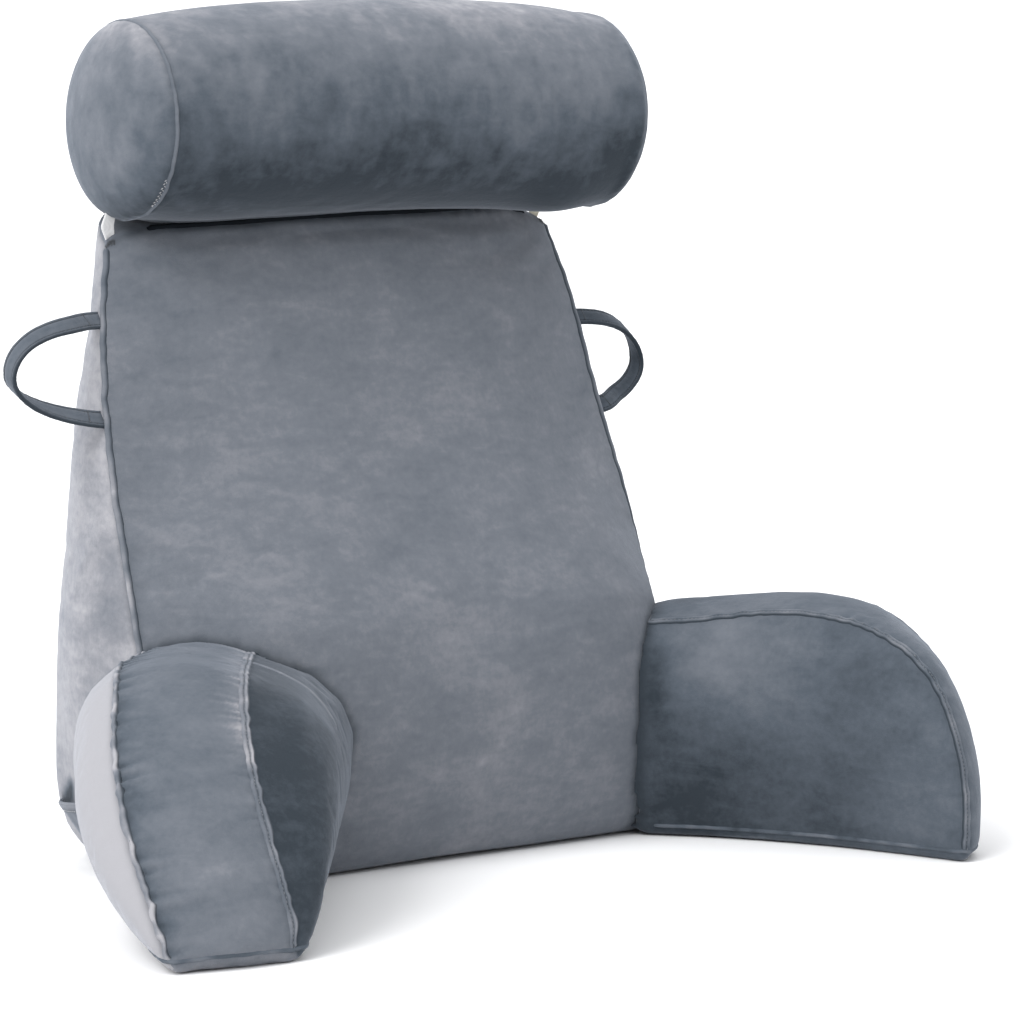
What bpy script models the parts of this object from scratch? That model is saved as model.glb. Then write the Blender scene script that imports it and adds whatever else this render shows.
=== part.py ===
# Reading pillow with arms: a wedge back cushion, two splayed D-shaped arms, a neck roll on
# elastic tabs, two handle loops in the side seams and a gaping side pocket.
# Metres, +Z up. The pillow faces -Y and stands on z = 0; the right arm is at +X.

import math

import bmesh
import bpy
from mathutils import Matrix, Vector
from mathutils.bvhtree import BVHTree

# Back cushion: one row for each height, read between the rows by a smooth curve.
# half and seamY place the side seams of the front panel, rearHalf and rearY the rear edges;
# crown, rearCrown and sideCrown are how far each panel swells between its edges, and a
# higher power keeps the front panel flatter across its middle.
backColumns = (
    "z", "half", "seamY", "crown", "power", "rearHalf", "rearY", "rearCrown", "sideCrown",
)
backRows = (
    (0.000, 0.262, -0.1055, 0.005, 4.0, 0.228, 0.082, 0.006, 0.006),
    (0.045, 0.2615, -0.0900, 0.0275, 4.45, 0.2375, 0.106, 0.0105, 0.0087),
    (0.100, 0.261, -0.0710, 0.055, 5.0, 0.236, 0.111, 0.016, 0.012),
    (0.185, 0.259, -0.0400, 0.082, 5.2, 0.232, 0.112, 0.022, 0.014),
    (0.250, 0.256, -0.0180, 0.067, 3.8, 0.224, 0.111, 0.021, 0.012),
    (0.330, 0.251, 0.0090, 0.048, 2.8, 0.217, 0.109, 0.018, 0.010),
    (0.430, 0.239, 0.0365, 0.034, 2.6, 0.204, 0.106, 0.012, 0.006),
    (0.492, 0.222, 0.0540, 0.024, 2.6, 0.195, 0.103, 0.008, 0.004),
)
backHeight = 0.492       # the front top corners
topMiddleRise = 0.020    # the top's middle above its corners, as far as the roll allows
topRearRise = 0.020      # the top's rear edge above its front corners
topCrown = 0.006
baseRound = 0.026        # the drawn-in lower edge
baseDraw = 0.75          # its depth as a share of its height
frontSegments = 26
sideSegments = 9
backLayers = 19

# Raised seams
seamRise = 0.0022
seamHalfWidth = 0.0035

# Arms, measured along the inner top seam from the front panel. A heading is in degrees
# outward from -Y; it turns from the root heading to the tip heading, mostly near the tip
# where bend is high. Skew turns the strip's far edge back towards the tip.
armColumns = (
    "name", "side", "length", "level", "rootHeight", "height", "rootHeading", "tipHeading",
    "bend", "skew", "corner", "rootWidth", "width", "tipWidth", "innerFull", "outerFull",
)
armRows = (
    ("arm_left", -1, 0.290, 0.120, 0.186, 0.186, 39, -8,
     3.8, 17, 1.34, 0.081, 0.096, 0.104, 0.078, 0.034),
    ("arm_right", 1, 0.286, 0.122, 0.175, 0.189, 41, 3,
     1.0, 39, 0.755, 0.078, 0.092, 0.062, 0.030, 0.034),
)
fullnessColumns = ("height", "inner", "outer")     # shares of the panel's height and bulge
fullnessRows = (
    (0.00, 0.46, -1.10),
    (0.25, 0.78, -0.05),
    (0.55, 1.00, 0.92),
    (0.75, 0.92, 1.00),
    (0.90, 0.58, 0.66),
    (1.00, 0.00, 0.00),
)
armRootX = 0.201
armRootY = -0.108
armRiseRun = 0.120       # from the root to where the arm has its full height
armStripCrown = 0.009
armFullRun = 0.060       # from the root to where the strip has its full width
armTipRun = 0.160        # from the root to where it starts to change towards the tip
armInside = 0.090        # how far the arm runs on into the back before it is trimmed
armEndHeight = 0.010
armBaseRound = 0.010
armPanelSteps = 10
armStripSteps = 8
armFlatSteps = 4
armCurveSteps = 15

# Neck roll
rollRadius = 0.0855
rollEndRadius = 0.0795
rollHalfLength = 0.217   # middle to end seam
rollSag = 0.008          # how far its ends hang below its middle
rollDome = 0.031         # how far the end caps stand out past their seams
rollCapEase = 0.0012     # how much the cap has drawn in beside its seam
rollX = 0.009
rollY = 0.026
rollZ = 0.5925
rollTurn = math.radians(-5)
rollSides = 36
rollLengthSteps = 18
rollDomeSteps = 6

# Handle loops
handleColumns = ("name", "side", "topZ", "lowZ", "reach")
handleRows = (
    ("handle_left", -1, 0.431, 0.358, 0.086),
    ("handle_right", 1, 0.411, 0.340, 0.080),
)
handleTipY = 0.047
handleRootY = 0.030
handleRootX = 0.226
handleFlare = 0.009      # how far the lower end lies further out and forward
handleWidth = 0.016
handleThick = 0.0045
handleTwist = math.radians(22)
handleBulge = 0.16       # how much rounder its upper and lower bends are than an arc
handleSteps = 30
# the strap's cross-section, in halves of its width and thickness
strapSection = (
    (0.8, -1), (1, -0.3), (1, 0.3), (0.8, 1), (0, 1),
    (-0.8, 1), (-1, 0.3), (-1, -0.3), (-0.8, -1), (0, -1),
)

# Elastic tabs
tabX = 0.2120
tabY = 0.062
tabLowZ = 0.485
tabTopZ = 0.530
tabWidth = 0.013
tabThick = 0.0018
tabBow = 0.0015
tabSteps = 6

# Side pocket
pocketMouthZ = 0.060
pocketFootZ = 0.013
pocketFrontY = 0.008
pocketRearY = 0.095      # at the mouth
pocketFootRearY = 0.046
pocketGape = 0.018
pocketThick = 0.0025
pocketAcross = 18
pocketDown = 8

clearance = 0.0006       # between pieces that touch

upholsteryColor = (0.155, 0.172, 0.198, 1.0)
elasticColor = (0.80, 0.79, 0.75, 1.0)


def clearScene():
    for item in list(bpy.data.objects):
        bpy.data.objects.remove(item, do_unlink=True)


def fabricMaterial(name, color, roughness):
    material = bpy.data.materials.new(name)
    material.use_nodes = True
    shader = material.node_tree.nodes["Principled BSDF"]
    shader.inputs["Base Color"].default_value = color
    shader.inputs["Roughness"].default_value = roughness
    shader.inputs["Metallic"].default_value = 0.0
    return material


def finishObject(bm, name, material):
    bmesh.ops.recalc_face_normals(bm, faces=bm.faces)
    mesh = bpy.data.meshes.new(name)
    bm.to_mesh(mesh)
    bm.free()
    mesh.shade_smooth()
    mesh.set_sharp_from_angle(angle=math.radians(50))
    mesh.materials.append(material)
    item = bpy.data.objects.new(name, mesh)
    bpy.context.scene.collection.objects.link(item)
    return item


def makeCutter(bm, name):
    bmesh.ops.recalc_face_normals(bm, faces=bm.faces)
    mesh = bpy.data.meshes.new(name)
    bm.to_mesh(mesh)
    bm.free()
    cutter = bpy.data.objects.new(name, mesh)
    cutter.hide_render = True
    cutter.display_type = "WIRE"
    bpy.context.scene.collection.objects.link(cutter)
    return cutter


def cutWith(item, cutter):
    cut = item.modifiers.new("trim", "BOOLEAN")
    cut.operation = "DIFFERENCE"
    cut.solver = "EXACT"
    cut.object = cutter


def swell(bm, amount):
    """Moves every point out along its normal."""
    bm.normal_update()
    moves = [(vertex, vertex.normal * amount) for vertex in bm.verts]
    for vertex, move in moves:
        vertex.co += move


def raiseSeam(bm, vertices):
    bm.normal_update()
    moves = [(vertex, vertex.normal * seamRise) for vertex in vertices]
    for vertex, move in moves:
        vertex.co += move


def joinRings(bm, rings):
    for lower, upper in zip(rings, rings[1:]):
        count = len(lower)
        for i in range(count):
            k = (i + 1) % count
            bm.faces.new((lower[i], lower[k], upper[k], upper[i]))


def closeWithFan(bm, ring):
    middle = sum((vertex.co for vertex in ring), Vector()) / len(ring)
    hub = bm.verts.new(middle)
    for i, vertex in enumerate(ring):
        bm.faces.new((vertex, ring[(i + 1) % len(ring)], hub))


def readTable(rows, columns, z):
    """Each column at height z, by a Hermite curve whose slopes come from the rows around it."""
    last = len(rows) - 1
    k = 0
    while k < last - 1 and z >= rows[k + 1][0]:
        k += 1
    span = rows[k + 1][0] - rows[k][0]
    t = min(max((z - rows[k][0]) / span, 0.0), 1.0)

    def slope(i, c):
        low = max(i - 1, 0)
        high = min(i + 1, last)
        return (rows[high][c] - rows[low][c]) / (rows[high][0] - rows[low][0])

    values = {}
    for c, column in enumerate(columns):
        start = rows[k][c]
        end = rows[k + 1][c]
        ease = t * t * (3 - 2 * t)
        leave = t * (1 - t) ** 2 * span * slope(k, c)
        arrive = t * t * (1 - t) * span * slope(k + 1, c)
        values[column] = start + (end - start) * ease + leave - arrive
    return values


def edgeSpaced(count, narrow):
    """Positions from 0 to 1, closer towards both ends, with a narrow first and last step."""
    inner = [i / (count - 2) for i in range(count - 1)]
    eased = [0.6 * t + 0.4 * (0.5 - 0.5 * math.cos(math.pi * t)) for t in inner]
    return [0.0] + [narrow + t * (1 - 2 * narrow) for t in eased] + [1.0]


def drawnIn(z, depth):
    """How far a rounded lower edge is drawn in at height z."""
    rise = min(z / depth, 1.0)
    return depth * baseDraw * (1 - math.sqrt(1 - (1 - rise) ** 2))


def rollRadiusAt(share):
    return rollEndRadius + (rollRadius - rollEndRadius) * (1 - min(share**4, 1.0))


def rollUnderside(x, y):
    """Height of the roll's lower surface over a point in plan; far up where it is clear."""
    across = (y - rollY) * math.cos(rollTurn) - (x - rollX) * math.sin(rollTurn)
    share = (x - rollX) / rollHalfLength
    reach = rollRadiusAt(share) + clearance
    if abs(across) >= reach:
        return 1.0
    return rollZ - rollSag * share**2 - math.sqrt(reach**2 - across**2)


# ---- back cushion

def frontPoint(row, r):
    return row["half"] * r, row["seamY"] - row["crown"] * (1 - abs(r) ** row["power"])


def rearPoint(row, r):
    return row["rearHalf"] * r, row["rearY"] + row["rearCrown"] * (1 - abs(r) ** 3)


def sidePoint(row, share):
    x = row["half"] + (row["rearHalf"] - row["half"]) * share
    x += row["sideCrown"] * math.sin(math.pi * share)
    return x, row["seamY"] + (row["rearY"] - row["seamY"]) * share


def backOutline(z):
    """The cushion's outline at height z, counter-clockwise from the left front seam, with
    the share of the top's rise that each point takes."""
    row = readTable(backRows, backColumns, z)
    depth = row["rearY"] - row["seamY"]
    acrossSteps = edgeSpaced(frontSegments, seamHalfWidth / (2 * row["half"]))
    depthSteps = edgeSpaced(sideSegments, seamHalfWidth / depth)
    points = []
    for share in acrossSteps:
        r = 2 * share - 1
        points.append((*frontPoint(row, r), topMiddleRise * (1 - r**4)))
    for share in depthSteps[1:-1]:
        points.append((*sidePoint(row, share), topRearRise * share))
    for share in reversed(acrossSteps):
        r = 2 * share - 1
        points.append((*rearPoint(row, r), topRearRise + 0.3 * topMiddleRise * (1 - r**4)))
    for share in reversed(depthSteps[1:-1]):
        x, y = sidePoint(row, share)
        points.append((-x, y, topRearRise * share))
    return points


def drawInOutline(points, amount):
    """Shrinks the outline by this amount on every side."""
    halfWide = max(x for x, _, _ in points)
    nearY = min(y for _, y, _ in points)
    farY = max(y for _, y, _ in points)
    middleY = 0.5 * (nearY + farY)
    scaleX = 1 - amount / halfWide
    scaleY = 1 - amount / (0.5 * (farY - nearY))
    return [(x * scaleX, middleY + (y - middleY) * scaleY, rise) for x, y, rise in points]


def backHeights():
    rounded = [baseRound * share for share in (0.0, 0.13, 0.36, 0.66, 1.0)]
    top = backHeight - seamHalfWidth
    climbing = [baseRound + (top - baseRound) * i / backLayers for i in range(1, backLayers + 1)]
    return rounded + climbing + [backHeight]


def capGrid(bm, ring, crown):
    """Fills a four-sided ring with a grid blended from its sides, raised in the middle."""
    front = ring[: frontSegments + 1]
    right = ring[frontSegments: frontSegments + sideSegments + 1]
    rear = ring[frontSegments + sideSegments: 2 * frontSegments + sideSegments + 1][::-1]
    left = [ring[0]] + ring[2 * frontSegments + sideSegments:][::-1]
    grid = [front]
    for j in range(1, sideSegments):
        line = [left[j]]
        v = (left[j].co - left[0].co).length / (left[-1].co - left[0].co).length
        for i in range(1, frontSegments):
            u = (front[i].co.x - front[0].co.x) / (front[-1].co.x - front[0].co.x)
            sides = front[i].co * (1 - v) + rear[i].co * v + left[j].co * (1 - u) + right[j].co * u
            corners = (front[0].co * (1 - u) + front[-1].co * u) * (1 - v)
            corners += (rear[0].co * (1 - u) + rear[-1].co * u) * v
            point = sides - corners
            point.z += crown * 16 * u * (1 - u) * v * (1 - v)
            line.append(bm.verts.new(point))
        grid.append(line + [right[j]])
    grid.append(rear)
    for near, far in zip(grid, grid[1:]):
        for i in range(frontSegments):
            bm.faces.new((near[i], near[i + 1], far[i + 1], far[i]))


def backBody(extra):
    """The back cushion, with every surface moved out by extra."""
    bm = bmesh.new()
    rings = []
    for z in backHeights():
        outline = drawInOutline(backOutline(z), drawnIn(z, baseRound))
        share = z / backHeight
        rings.append([bm.verts.new((x, y, z + rise * share**3)) for x, y, rise in outline])
    joinRings(bm, rings)
    capGrid(bm, rings[-1], topCrown)
    capGrid(bm, rings[0], 0.0)
    bmesh.ops.recalc_face_normals(bm, faces=bm.faces)
    seams = [ring[k] for ring in rings[3:-1] for k in (0, frontSegments)]
    raiseSeam(bm, seams + rings[-1][: frontSegments + 1])
    for vertex in bm.verts:
        if vertex.co.z > 0.9 * backHeight:
            vertex.co.z = min(vertex.co.z, rollUnderside(vertex.co.x, vertex.co.y))
    if extra:
        swell(bm, extra)
    return bm


# ---- arms

def armHeadingAt(spec, s):
    share = min(max(s / spec["length"], 0.0), 1.0) ** spec["bend"]
    return math.radians(spec["rootHeading"] + (spec["tipHeading"] - spec["rootHeading"]) * share)


def armPlace(spec, s):
    """Plan position of the inner top seam, walked from the root."""
    walkStep = 0.002
    steps = max(1, math.ceil(abs(s) / walkStep))
    x, y = armRootX, armRootY
    for i in range(steps):
        heading = armHeadingAt(spec, (i + 0.5) * s / steps)
        x += math.sin(heading) * s / steps
        y -= math.cos(heading) * s / steps
    return x, y


def armStations(spec):
    """(distance along the seam, height, slope angle of the outline), from inside the back
    to the tip."""
    level = spec["level"]

    def fullHeight(s):
        rise = smoothStep(s / armRiseRun)
        return spec["rootHeight"] + (spec["height"] - spec["rootHeight"]) * rise

    stations = [(-armInside * (1 - i / 4), spec["rootHeight"], 0.0) for i in range(4)]
    for i in range(armFlatSteps):
        s = level * i / armFlatSteps
        stations.append((s, fullHeight(s), 0.0))
    lastAngle = math.acos((armEndHeight / spec["height"]) ** (1 / spec["corner"]))
    for i in range(armCurveSteps + 1):
        angle = lastAngle * i / armCurveSteps
        s = level + (spec["length"] - level) * math.sin(angle) ** spec["corner"]
        stations.append((s, fullHeight(s) * math.cos(angle) ** spec["corner"], angle))
    return stations


def armWidthAt(spec, s):
    toFull = min(max(s / armFullRun, 0.0), 1.0)
    toTip = min(max((s - armTipRun) / (spec["length"] - armTipRun), 0.0), 1.0)
    width = spec["rootWidth"] + (spec["width"] - spec["rootWidth"]) * toFull
    return width + (spec["tipWidth"] - spec["width"]) * toTip


def smoothStep(t):
    t = min(max(t, 0.0), 1.0)
    return t * t * (3 - 2 * t)


def armRing(bm, spec, s, height, angle):
    """One section of the arm: up the inner panel, over the strip, down the outer panel and
    back along the floor. Returns its points and the two that lie on the seams."""
    x, y = armPlace(spec, s)
    reach = min(max(s / spec["length"], 0.0), 1.0)
    heading = armHeadingAt(spec, s)
    facing = heading + math.radians(spec["skew"]) * reach**2
    outward = Vector((math.cos(facing), math.sin(facing), 0))
    forward = Vector((math.sin(heading), -math.cos(heading), 0))
    taper = (1 - reach**4) ** 0.7
    innerFull = spec["innerFull"] * taper
    outerFull = spec["outerFull"] * taper * smoothStep((s + armInside) / armInside)
    width = armWidthAt(spec, s)
    panelSteps = edgeSpaced(armPanelSteps, min(seamHalfWidth / height, 0.08))
    stripSteps = edgeSpaced(armStripSteps, seamHalfWidth / width)
    crownWay = Vector((0, 0, math.cos(angle))) + forward * math.sin(angle)
    foot = Vector((x, y, 0))
    inner = []
    outer = []
    for share in panelSteps:
        z = height * share
        under = drawnIn(z, min(armBaseRound, height))
        full = readTable(fullnessRows, fullnessColumns, share)
        inner.append(foot + outward * (under - innerFull * full["inner"]) + Vector((0, 0, z)))
        beyond = width - under + outerFull * full["outer"]
        outer.append(foot + outward * beyond + Vector((0, 0, z)))
    strip = []
    for share in stripSteps[1:-1]:
        crown = crownWay * (armStripCrown * 4 * share * (1 - share))
        strip.append(inner[-1].lerp(outer[-1], share) + crown)
    floor = [outer[0].lerp(inner[0], share) for share in stripSteps[1:-1]]
    spots = inner + strip + outer[::-1] + floor
    vertices = [bm.verts.new((spec["side"] * spot.x, spot.y, spot.z)) for spot in spots]
    return vertices, vertices[armPanelSteps], vertices[armPanelSteps + armStripSteps]


def armBody(spec):
    bm = bmesh.new()
    rings = []
    seams = []
    for s, height, angle in armStations(spec):
        ring, innerSeam, outerSeam = armRing(bm, spec, s, height, angle)
        rings.append(ring)
        seams += [innerSeam, outerSeam]
    joinRings(bm, rings)
    closeWithFan(bm, rings[0])
    closeWithFan(bm, rings[-1])
    bmesh.ops.recalc_face_normals(bm, faces=bm.faces)
    raiseSeam(bm, seams[:-2])
    return bm


# ---- neck roll

def rollBody(extra):
    bm = bmesh.new()
    profile = []
    for i in range(1, rollDomeSteps + 1):
        angle = 0.5 * math.pi * i / rollDomeSteps
        x = -rollHalfLength - rollDome * math.cos(angle)
        profile.append((x, rollEndRadius * math.sin(angle), False))
    profile[-1] = (-rollHalfLength, rollEndRadius, True)
    profile.insert(-1, (-rollHalfLength - seamHalfWidth, rollEndRadius - rollCapEase, False))
    middle = []
    for t in edgeSpaced(rollLengthSteps, seamHalfWidth / (2 * rollHalfLength))[1:-1]:
        middle.append((rollHalfLength * (2 * t - 1), rollRadiusAt(2 * t - 1), False))
    mirrored = [(-x, radius, seam) for x, radius, seam in reversed(profile)]
    rings = []
    seams = []
    for x, radius, seam in profile + middle + mirrored:
        ring = []
        for k in range(rollSides):
            turn = 2 * math.pi * (k + 0.5) / rollSides
            ring.append(bm.verts.new((x, radius * math.cos(turn), radius * math.sin(turn))))
        rings.append(ring)
        if seam:
            seams += ring
    joinRings(bm, rings)
    closeWithFan(bm, rings[0])
    closeWithFan(bm, rings[-1])
    for hub in bm.verts[-2:]:
        hub.co.x = math.copysign(rollHalfLength + rollDome, hub.co.x)
    bmesh.ops.recalc_face_normals(bm, faces=bm.faces)
    raiseSeam(bm, seams)
    if extra:
        swell(bm, extra)
    for vertex in bm.verts:
        vertex.co.z -= rollSag * (vertex.co.x / rollHalfLength) ** 2
    bmesh.ops.rotate(bm, verts=bm.verts, matrix=Matrix.Rotation(rollTurn, 3, "Z"))
    bmesh.ops.translate(bm, verts=bm.verts, vec=(rollX, rollY, rollZ))
    return bm


# ---- handle loops

def handlePoint(spec, t):
    """Middle line of the loop on the +X side, from its upper end to its lower end."""
    angle = math.pi * (0.5 - t)
    away = math.cos(angle) ** 0.8 if 0 < t < 1 else 0.0
    middleZ = 0.5 * (spec["topZ"] + spec["lowZ"])
    halfZ = 0.5 * (spec["topZ"] - spec["lowZ"])
    x = handleRootX + spec["reach"] * away + handleFlare * t
    y = handleRootY + (handleTipY - handleRootY) * away - handleFlare * t
    z = middleZ + halfZ * math.sin(angle) * (1 + handleBulge * math.cos(angle))
    return Vector((x, y, z))


def handleBody(spec):
    bm = bmesh.new()
    rings = []
    for k in range(handleSteps + 1):
        t = k / handleSteps
        point = handlePoint(spec, t)
        ahead = handlePoint(spec, min(t + 0.01, 1.0)) - handlePoint(spec, max(t - 0.01, 0.0))
        along = ahead.normalized()
        wideWay = Vector((0, 1, 0)) - along * along.y
        wideWay.normalize()
        thickWay = along.cross(wideWay)
        twist = handleTwist * math.cos(math.pi * t)
        wideTurned = wideWay * math.cos(twist) + thickWay * math.sin(twist)
        thickTurned = thickWay * math.cos(twist) - wideWay * math.sin(twist)
        ring = []
        for wide, thick in strapSection:
            spot = point + wideTurned * (wide * 0.5 * handleWidth)
            spot += thickTurned * (thick * 0.5 * handleThick)
            ring.append(bm.verts.new((spec["side"] * spot.x, spot.y, spot.z)))
        rings.append(ring)
    joinRings(bm, rings)
    closeWithFan(bm, rings[0])
    closeWithFan(bm, rings[-1])
    return bm


# ---- elastic tabs

def tabBody(side):
    bm = bmesh.new()
    rings = []
    for k in range(tabSteps + 1):
        t = k / tabSteps
        z = tabLowZ + (tabTopZ - tabLowZ) * t
        y = tabY - tabBow * math.sin(math.pi * t)
        ring = []
        for wide, thick in ((-1, -1), (0, -1), (1, -1), (1, 1), (0, 1), (-1, 1)):
            x = side * (tabX + wide * 0.5 * tabWidth)
            ring.append(bm.verts.new((x, y + thick * 0.5 * tabThick, z)))
        rings.append(ring)
    joinRings(bm, rings)
    bm.faces.new(rings[0])
    bm.faces.new(rings[-1])
    return bm


# ---- side pocket

def pocketBody(backTree):
    """A sheet over the left side panel, close along its sides and foot, open at the top."""
    bm = bmesh.new()
    inner = []
    outer = []
    for j in range(pocketDown + 1):
        down = j / pocketDown
        z = pocketMouthZ + (pocketFootZ - pocketMouthZ) * down
        rearY = pocketRearY + (pocketFootRearY - pocketRearY) * down
        innerLine = []
        outerLine = []
        for i in range(pocketAcross + 1):
            across = i / pocketAcross
            y = pocketFrontY + (rearY - pocketFrontY) * across
            spot, normal, _, _ = backTree.ray_cast(Vector((-1, y, z)), Vector((1, 0, 0)))
            gape = pocketGape * math.sin(math.pi * across) ** 0.8 * (1 - down) ** 0.9
            stand = Vector((-1, 0, 0)) * gape + normal * clearance
            innerLine.append(bm.verts.new(spot + stand))
            thickWay = (normal + Vector((-1, 0, 0))).normalized()
            outerLine.append(bm.verts.new(spot + stand + thickWay * pocketThick))
        inner.append(innerLine)
        outer.append(outerLine)
    for sheet in (inner, outer):
        for upper, lower in zip(sheet, sheet[1:]):
            for i in range(pocketAcross):
                bm.faces.new((upper[i], upper[i + 1], lower[i + 1], lower[i]))
    for line in (0, -1):
        for i in range(pocketAcross):
            bm.faces.new((inner[line][i], inner[line][i + 1], outer[line][i + 1], outer[line][i]))
    for j in range(pocketDown):
        for end in (0, -1):
            bm.faces.new((inner[j][end], inner[j + 1][end], outer[j + 1][end], outer[j][end]))
    return bm


def main():
    clearScene()
    upholstery = fabricMaterial("upholstery", upholsteryColor, 0.9)
    strapping = fabricMaterial("strap", upholsteryColor, 0.85)
    elastic = fabricMaterial("elastic", elasticColor, 0.7)
    backCutter = makeCutter(backBody(clearance), "back_trim")
    rollCutter = makeCutter(rollBody(clearance), "roll_trim")
    back = backBody(0.0)
    backTree = BVHTree.FromBMesh(back)
    finishObject(back, "back_cushion", upholstery)
    finishObject(rollBody(0.0), "neck_roll", upholstery)
    for row in armRows:
        spec = dict(zip(armColumns, row))
        arm = finishObject(armBody(spec), spec["name"], upholstery)
        cutWith(arm, backCutter)
    for row in handleRows:
        spec = dict(zip(handleColumns, row))
        handle = finishObject(handleBody(spec), spec["name"], strapping)
        cutWith(handle, backCutter)
    for label, side in (("left", -1), ("right", 1)):
        tab = finishObject(tabBody(side), "roll_tab_" + label, elastic)
        cutWith(tab, backCutter)
        cutWith(tab, rollCutter)
    finishObject(pocketBody(backTree), "side_pocket", upholstery)


main()
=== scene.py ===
import heapq
import math

import bmesh
import bpy
import numpy as np
from mathutils import Matrix, Vector, noise
from mathutils.bvhtree import BVHTree
from mathutils.kdtree import KDTree


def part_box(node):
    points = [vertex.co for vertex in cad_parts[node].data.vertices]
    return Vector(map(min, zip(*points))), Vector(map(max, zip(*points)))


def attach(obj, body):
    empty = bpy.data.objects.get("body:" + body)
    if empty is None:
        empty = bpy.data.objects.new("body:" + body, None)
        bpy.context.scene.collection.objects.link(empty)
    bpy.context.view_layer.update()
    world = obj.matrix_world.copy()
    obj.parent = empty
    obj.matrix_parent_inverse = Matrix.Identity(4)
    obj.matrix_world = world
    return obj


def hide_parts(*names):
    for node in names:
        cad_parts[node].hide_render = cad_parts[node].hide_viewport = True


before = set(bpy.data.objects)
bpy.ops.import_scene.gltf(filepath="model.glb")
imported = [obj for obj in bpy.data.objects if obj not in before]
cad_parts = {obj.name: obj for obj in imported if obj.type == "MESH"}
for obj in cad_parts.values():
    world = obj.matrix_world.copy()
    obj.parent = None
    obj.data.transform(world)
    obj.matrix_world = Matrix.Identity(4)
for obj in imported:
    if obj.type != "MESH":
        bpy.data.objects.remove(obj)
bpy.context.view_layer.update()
scene = bpy.context.scene
mm = 0.001
floorGap = 0.3 * mm  # how far the covers stay above the floor
closeGap = 0.25 * mm  # and from a neighbour that they lie against
lineStep = 1.5 * mm  # between the points of a seam line


# looks: one wrapper for sockets, then the cloth

class Wire:
    # a node socket that can take part in sums; its tree makes the nodes
    def __init__(self, tree, socket=None):
        self.tree = tree
        self.socket = socket

    def node(self, kind, settings, sockets, output=0):
        made = self.tree.nodes.new(kind)
        for name, value in settings.items():
            if name == "stops":
                ramp = made.color_ramp
                for spot, (place, color) in enumerate(value):
                    stop = ramp.elements[spot] if spot < 2 else ramp.elements.new(place)
                    stop.position = place
                    stop.color = color
            else:
                setattr(made, name, value)
        for name, value in sockets.items():
            if isinstance(value, Wire):
                self.tree.links.new(value.socket, made.inputs[name])
            else:
                made.inputs[name].default_value = value
        return Wire(self.tree, made.outputs[output])

    def sum(self, operation, first, second):
        return self.node("ShaderNodeMath", {"operation": operation}, {0: first, 1: second})

    def __add__(self, other):
        return self.sum("ADD", self, other)

    def __sub__(self, other):
        return self.sum("SUBTRACT", self, other)

    def __rsub__(self, other):
        return self.sum("SUBTRACT", other, self)

    def __mul__(self, other):
        return self.sum("MULTIPLY", self, other)

    __rmul__ = __mul__

    def clamped(self):
        settings = {"operation": "ADD", "use_clamp": True}
        return self.node("ShaderNodeMath", settings, {0: self, 1: 0.0})

    def grain(self, scale, detail=2.0, roughness=0.5, distortion=0.0):
        values = {"Vector": self, "Scale": scale, "Detail": detail}
        values.update({"Roughness": roughness, "Distortion": distortion})
        return self.node("ShaderNodeTexNoise", {}, values)

    def mixed(self, first, second):
        # self is the factor between two colours
        settings = {"data_type": "RGBA", "clamp_factor": True}
        return self.node("ShaderNodeMix", settings, {0: self, 6: first, 7: second}, 2)

    def into(self, shader, name):
        self.tree.links.new(self.socket, shader.inputs[name])


velvet = {
    # deep is also the colour that painted shade darkens the cloth to
    "deep": (0.028, 0.036, 0.045, 1.0),  # nap stroked away from the light
    "middle": (0.077, 0.092, 0.112, 1.0),
    "pale": (0.144, 0.157, 0.180, 1.0),
    "soft": (0.212, 0.218, 0.240, 1.0),
    "bright": (0.330, 0.328, 0.347, 1.0),  # nap stroked up
    "patchScale": 10.0,
    "brushScale": 30.0,
    "brushStretch": (0.7, 0.7, 1.7),  # strokes run mostly sideways
    "speckScale": 190.0,
    "pileScale": 1500.0,
    "shares": (0.50, 0.46, 0.32, 0.12),  # of patches, strokes, specks and pile in the nap's tone
    "average": 0.70,  # what they add up to in the middle of their range
    "contrast": 0.58,
    "shine": 0.22,  # how much smoother the lightest nap is
    "reliefShares": (0.6, 0.8, 0.5),  # of pile, specks and strokes in the bump
    "bump": 0.55,
    "sheen": 0.28,
    "sheenRoughness": 0.42,
    "sheenTint": (0.80, 0.86, 0.97, 1.0),
    "pileDepth": 0.6 * mm,
}


def newMaterial(name):
    material = bpy.data.materials.new(name)
    material.use_nodes = True
    return material, material.node_tree.nodes["Principled BSDF"]


def setConstants(shader, values):
    for name, value in values.items():
        shader.inputs[name].default_value = value


def bumped(height, strength, depth):
    return height.node("ShaderNodeBump", {}, {"Height": height, "Strength": strength, "Distance": depth})


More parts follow.
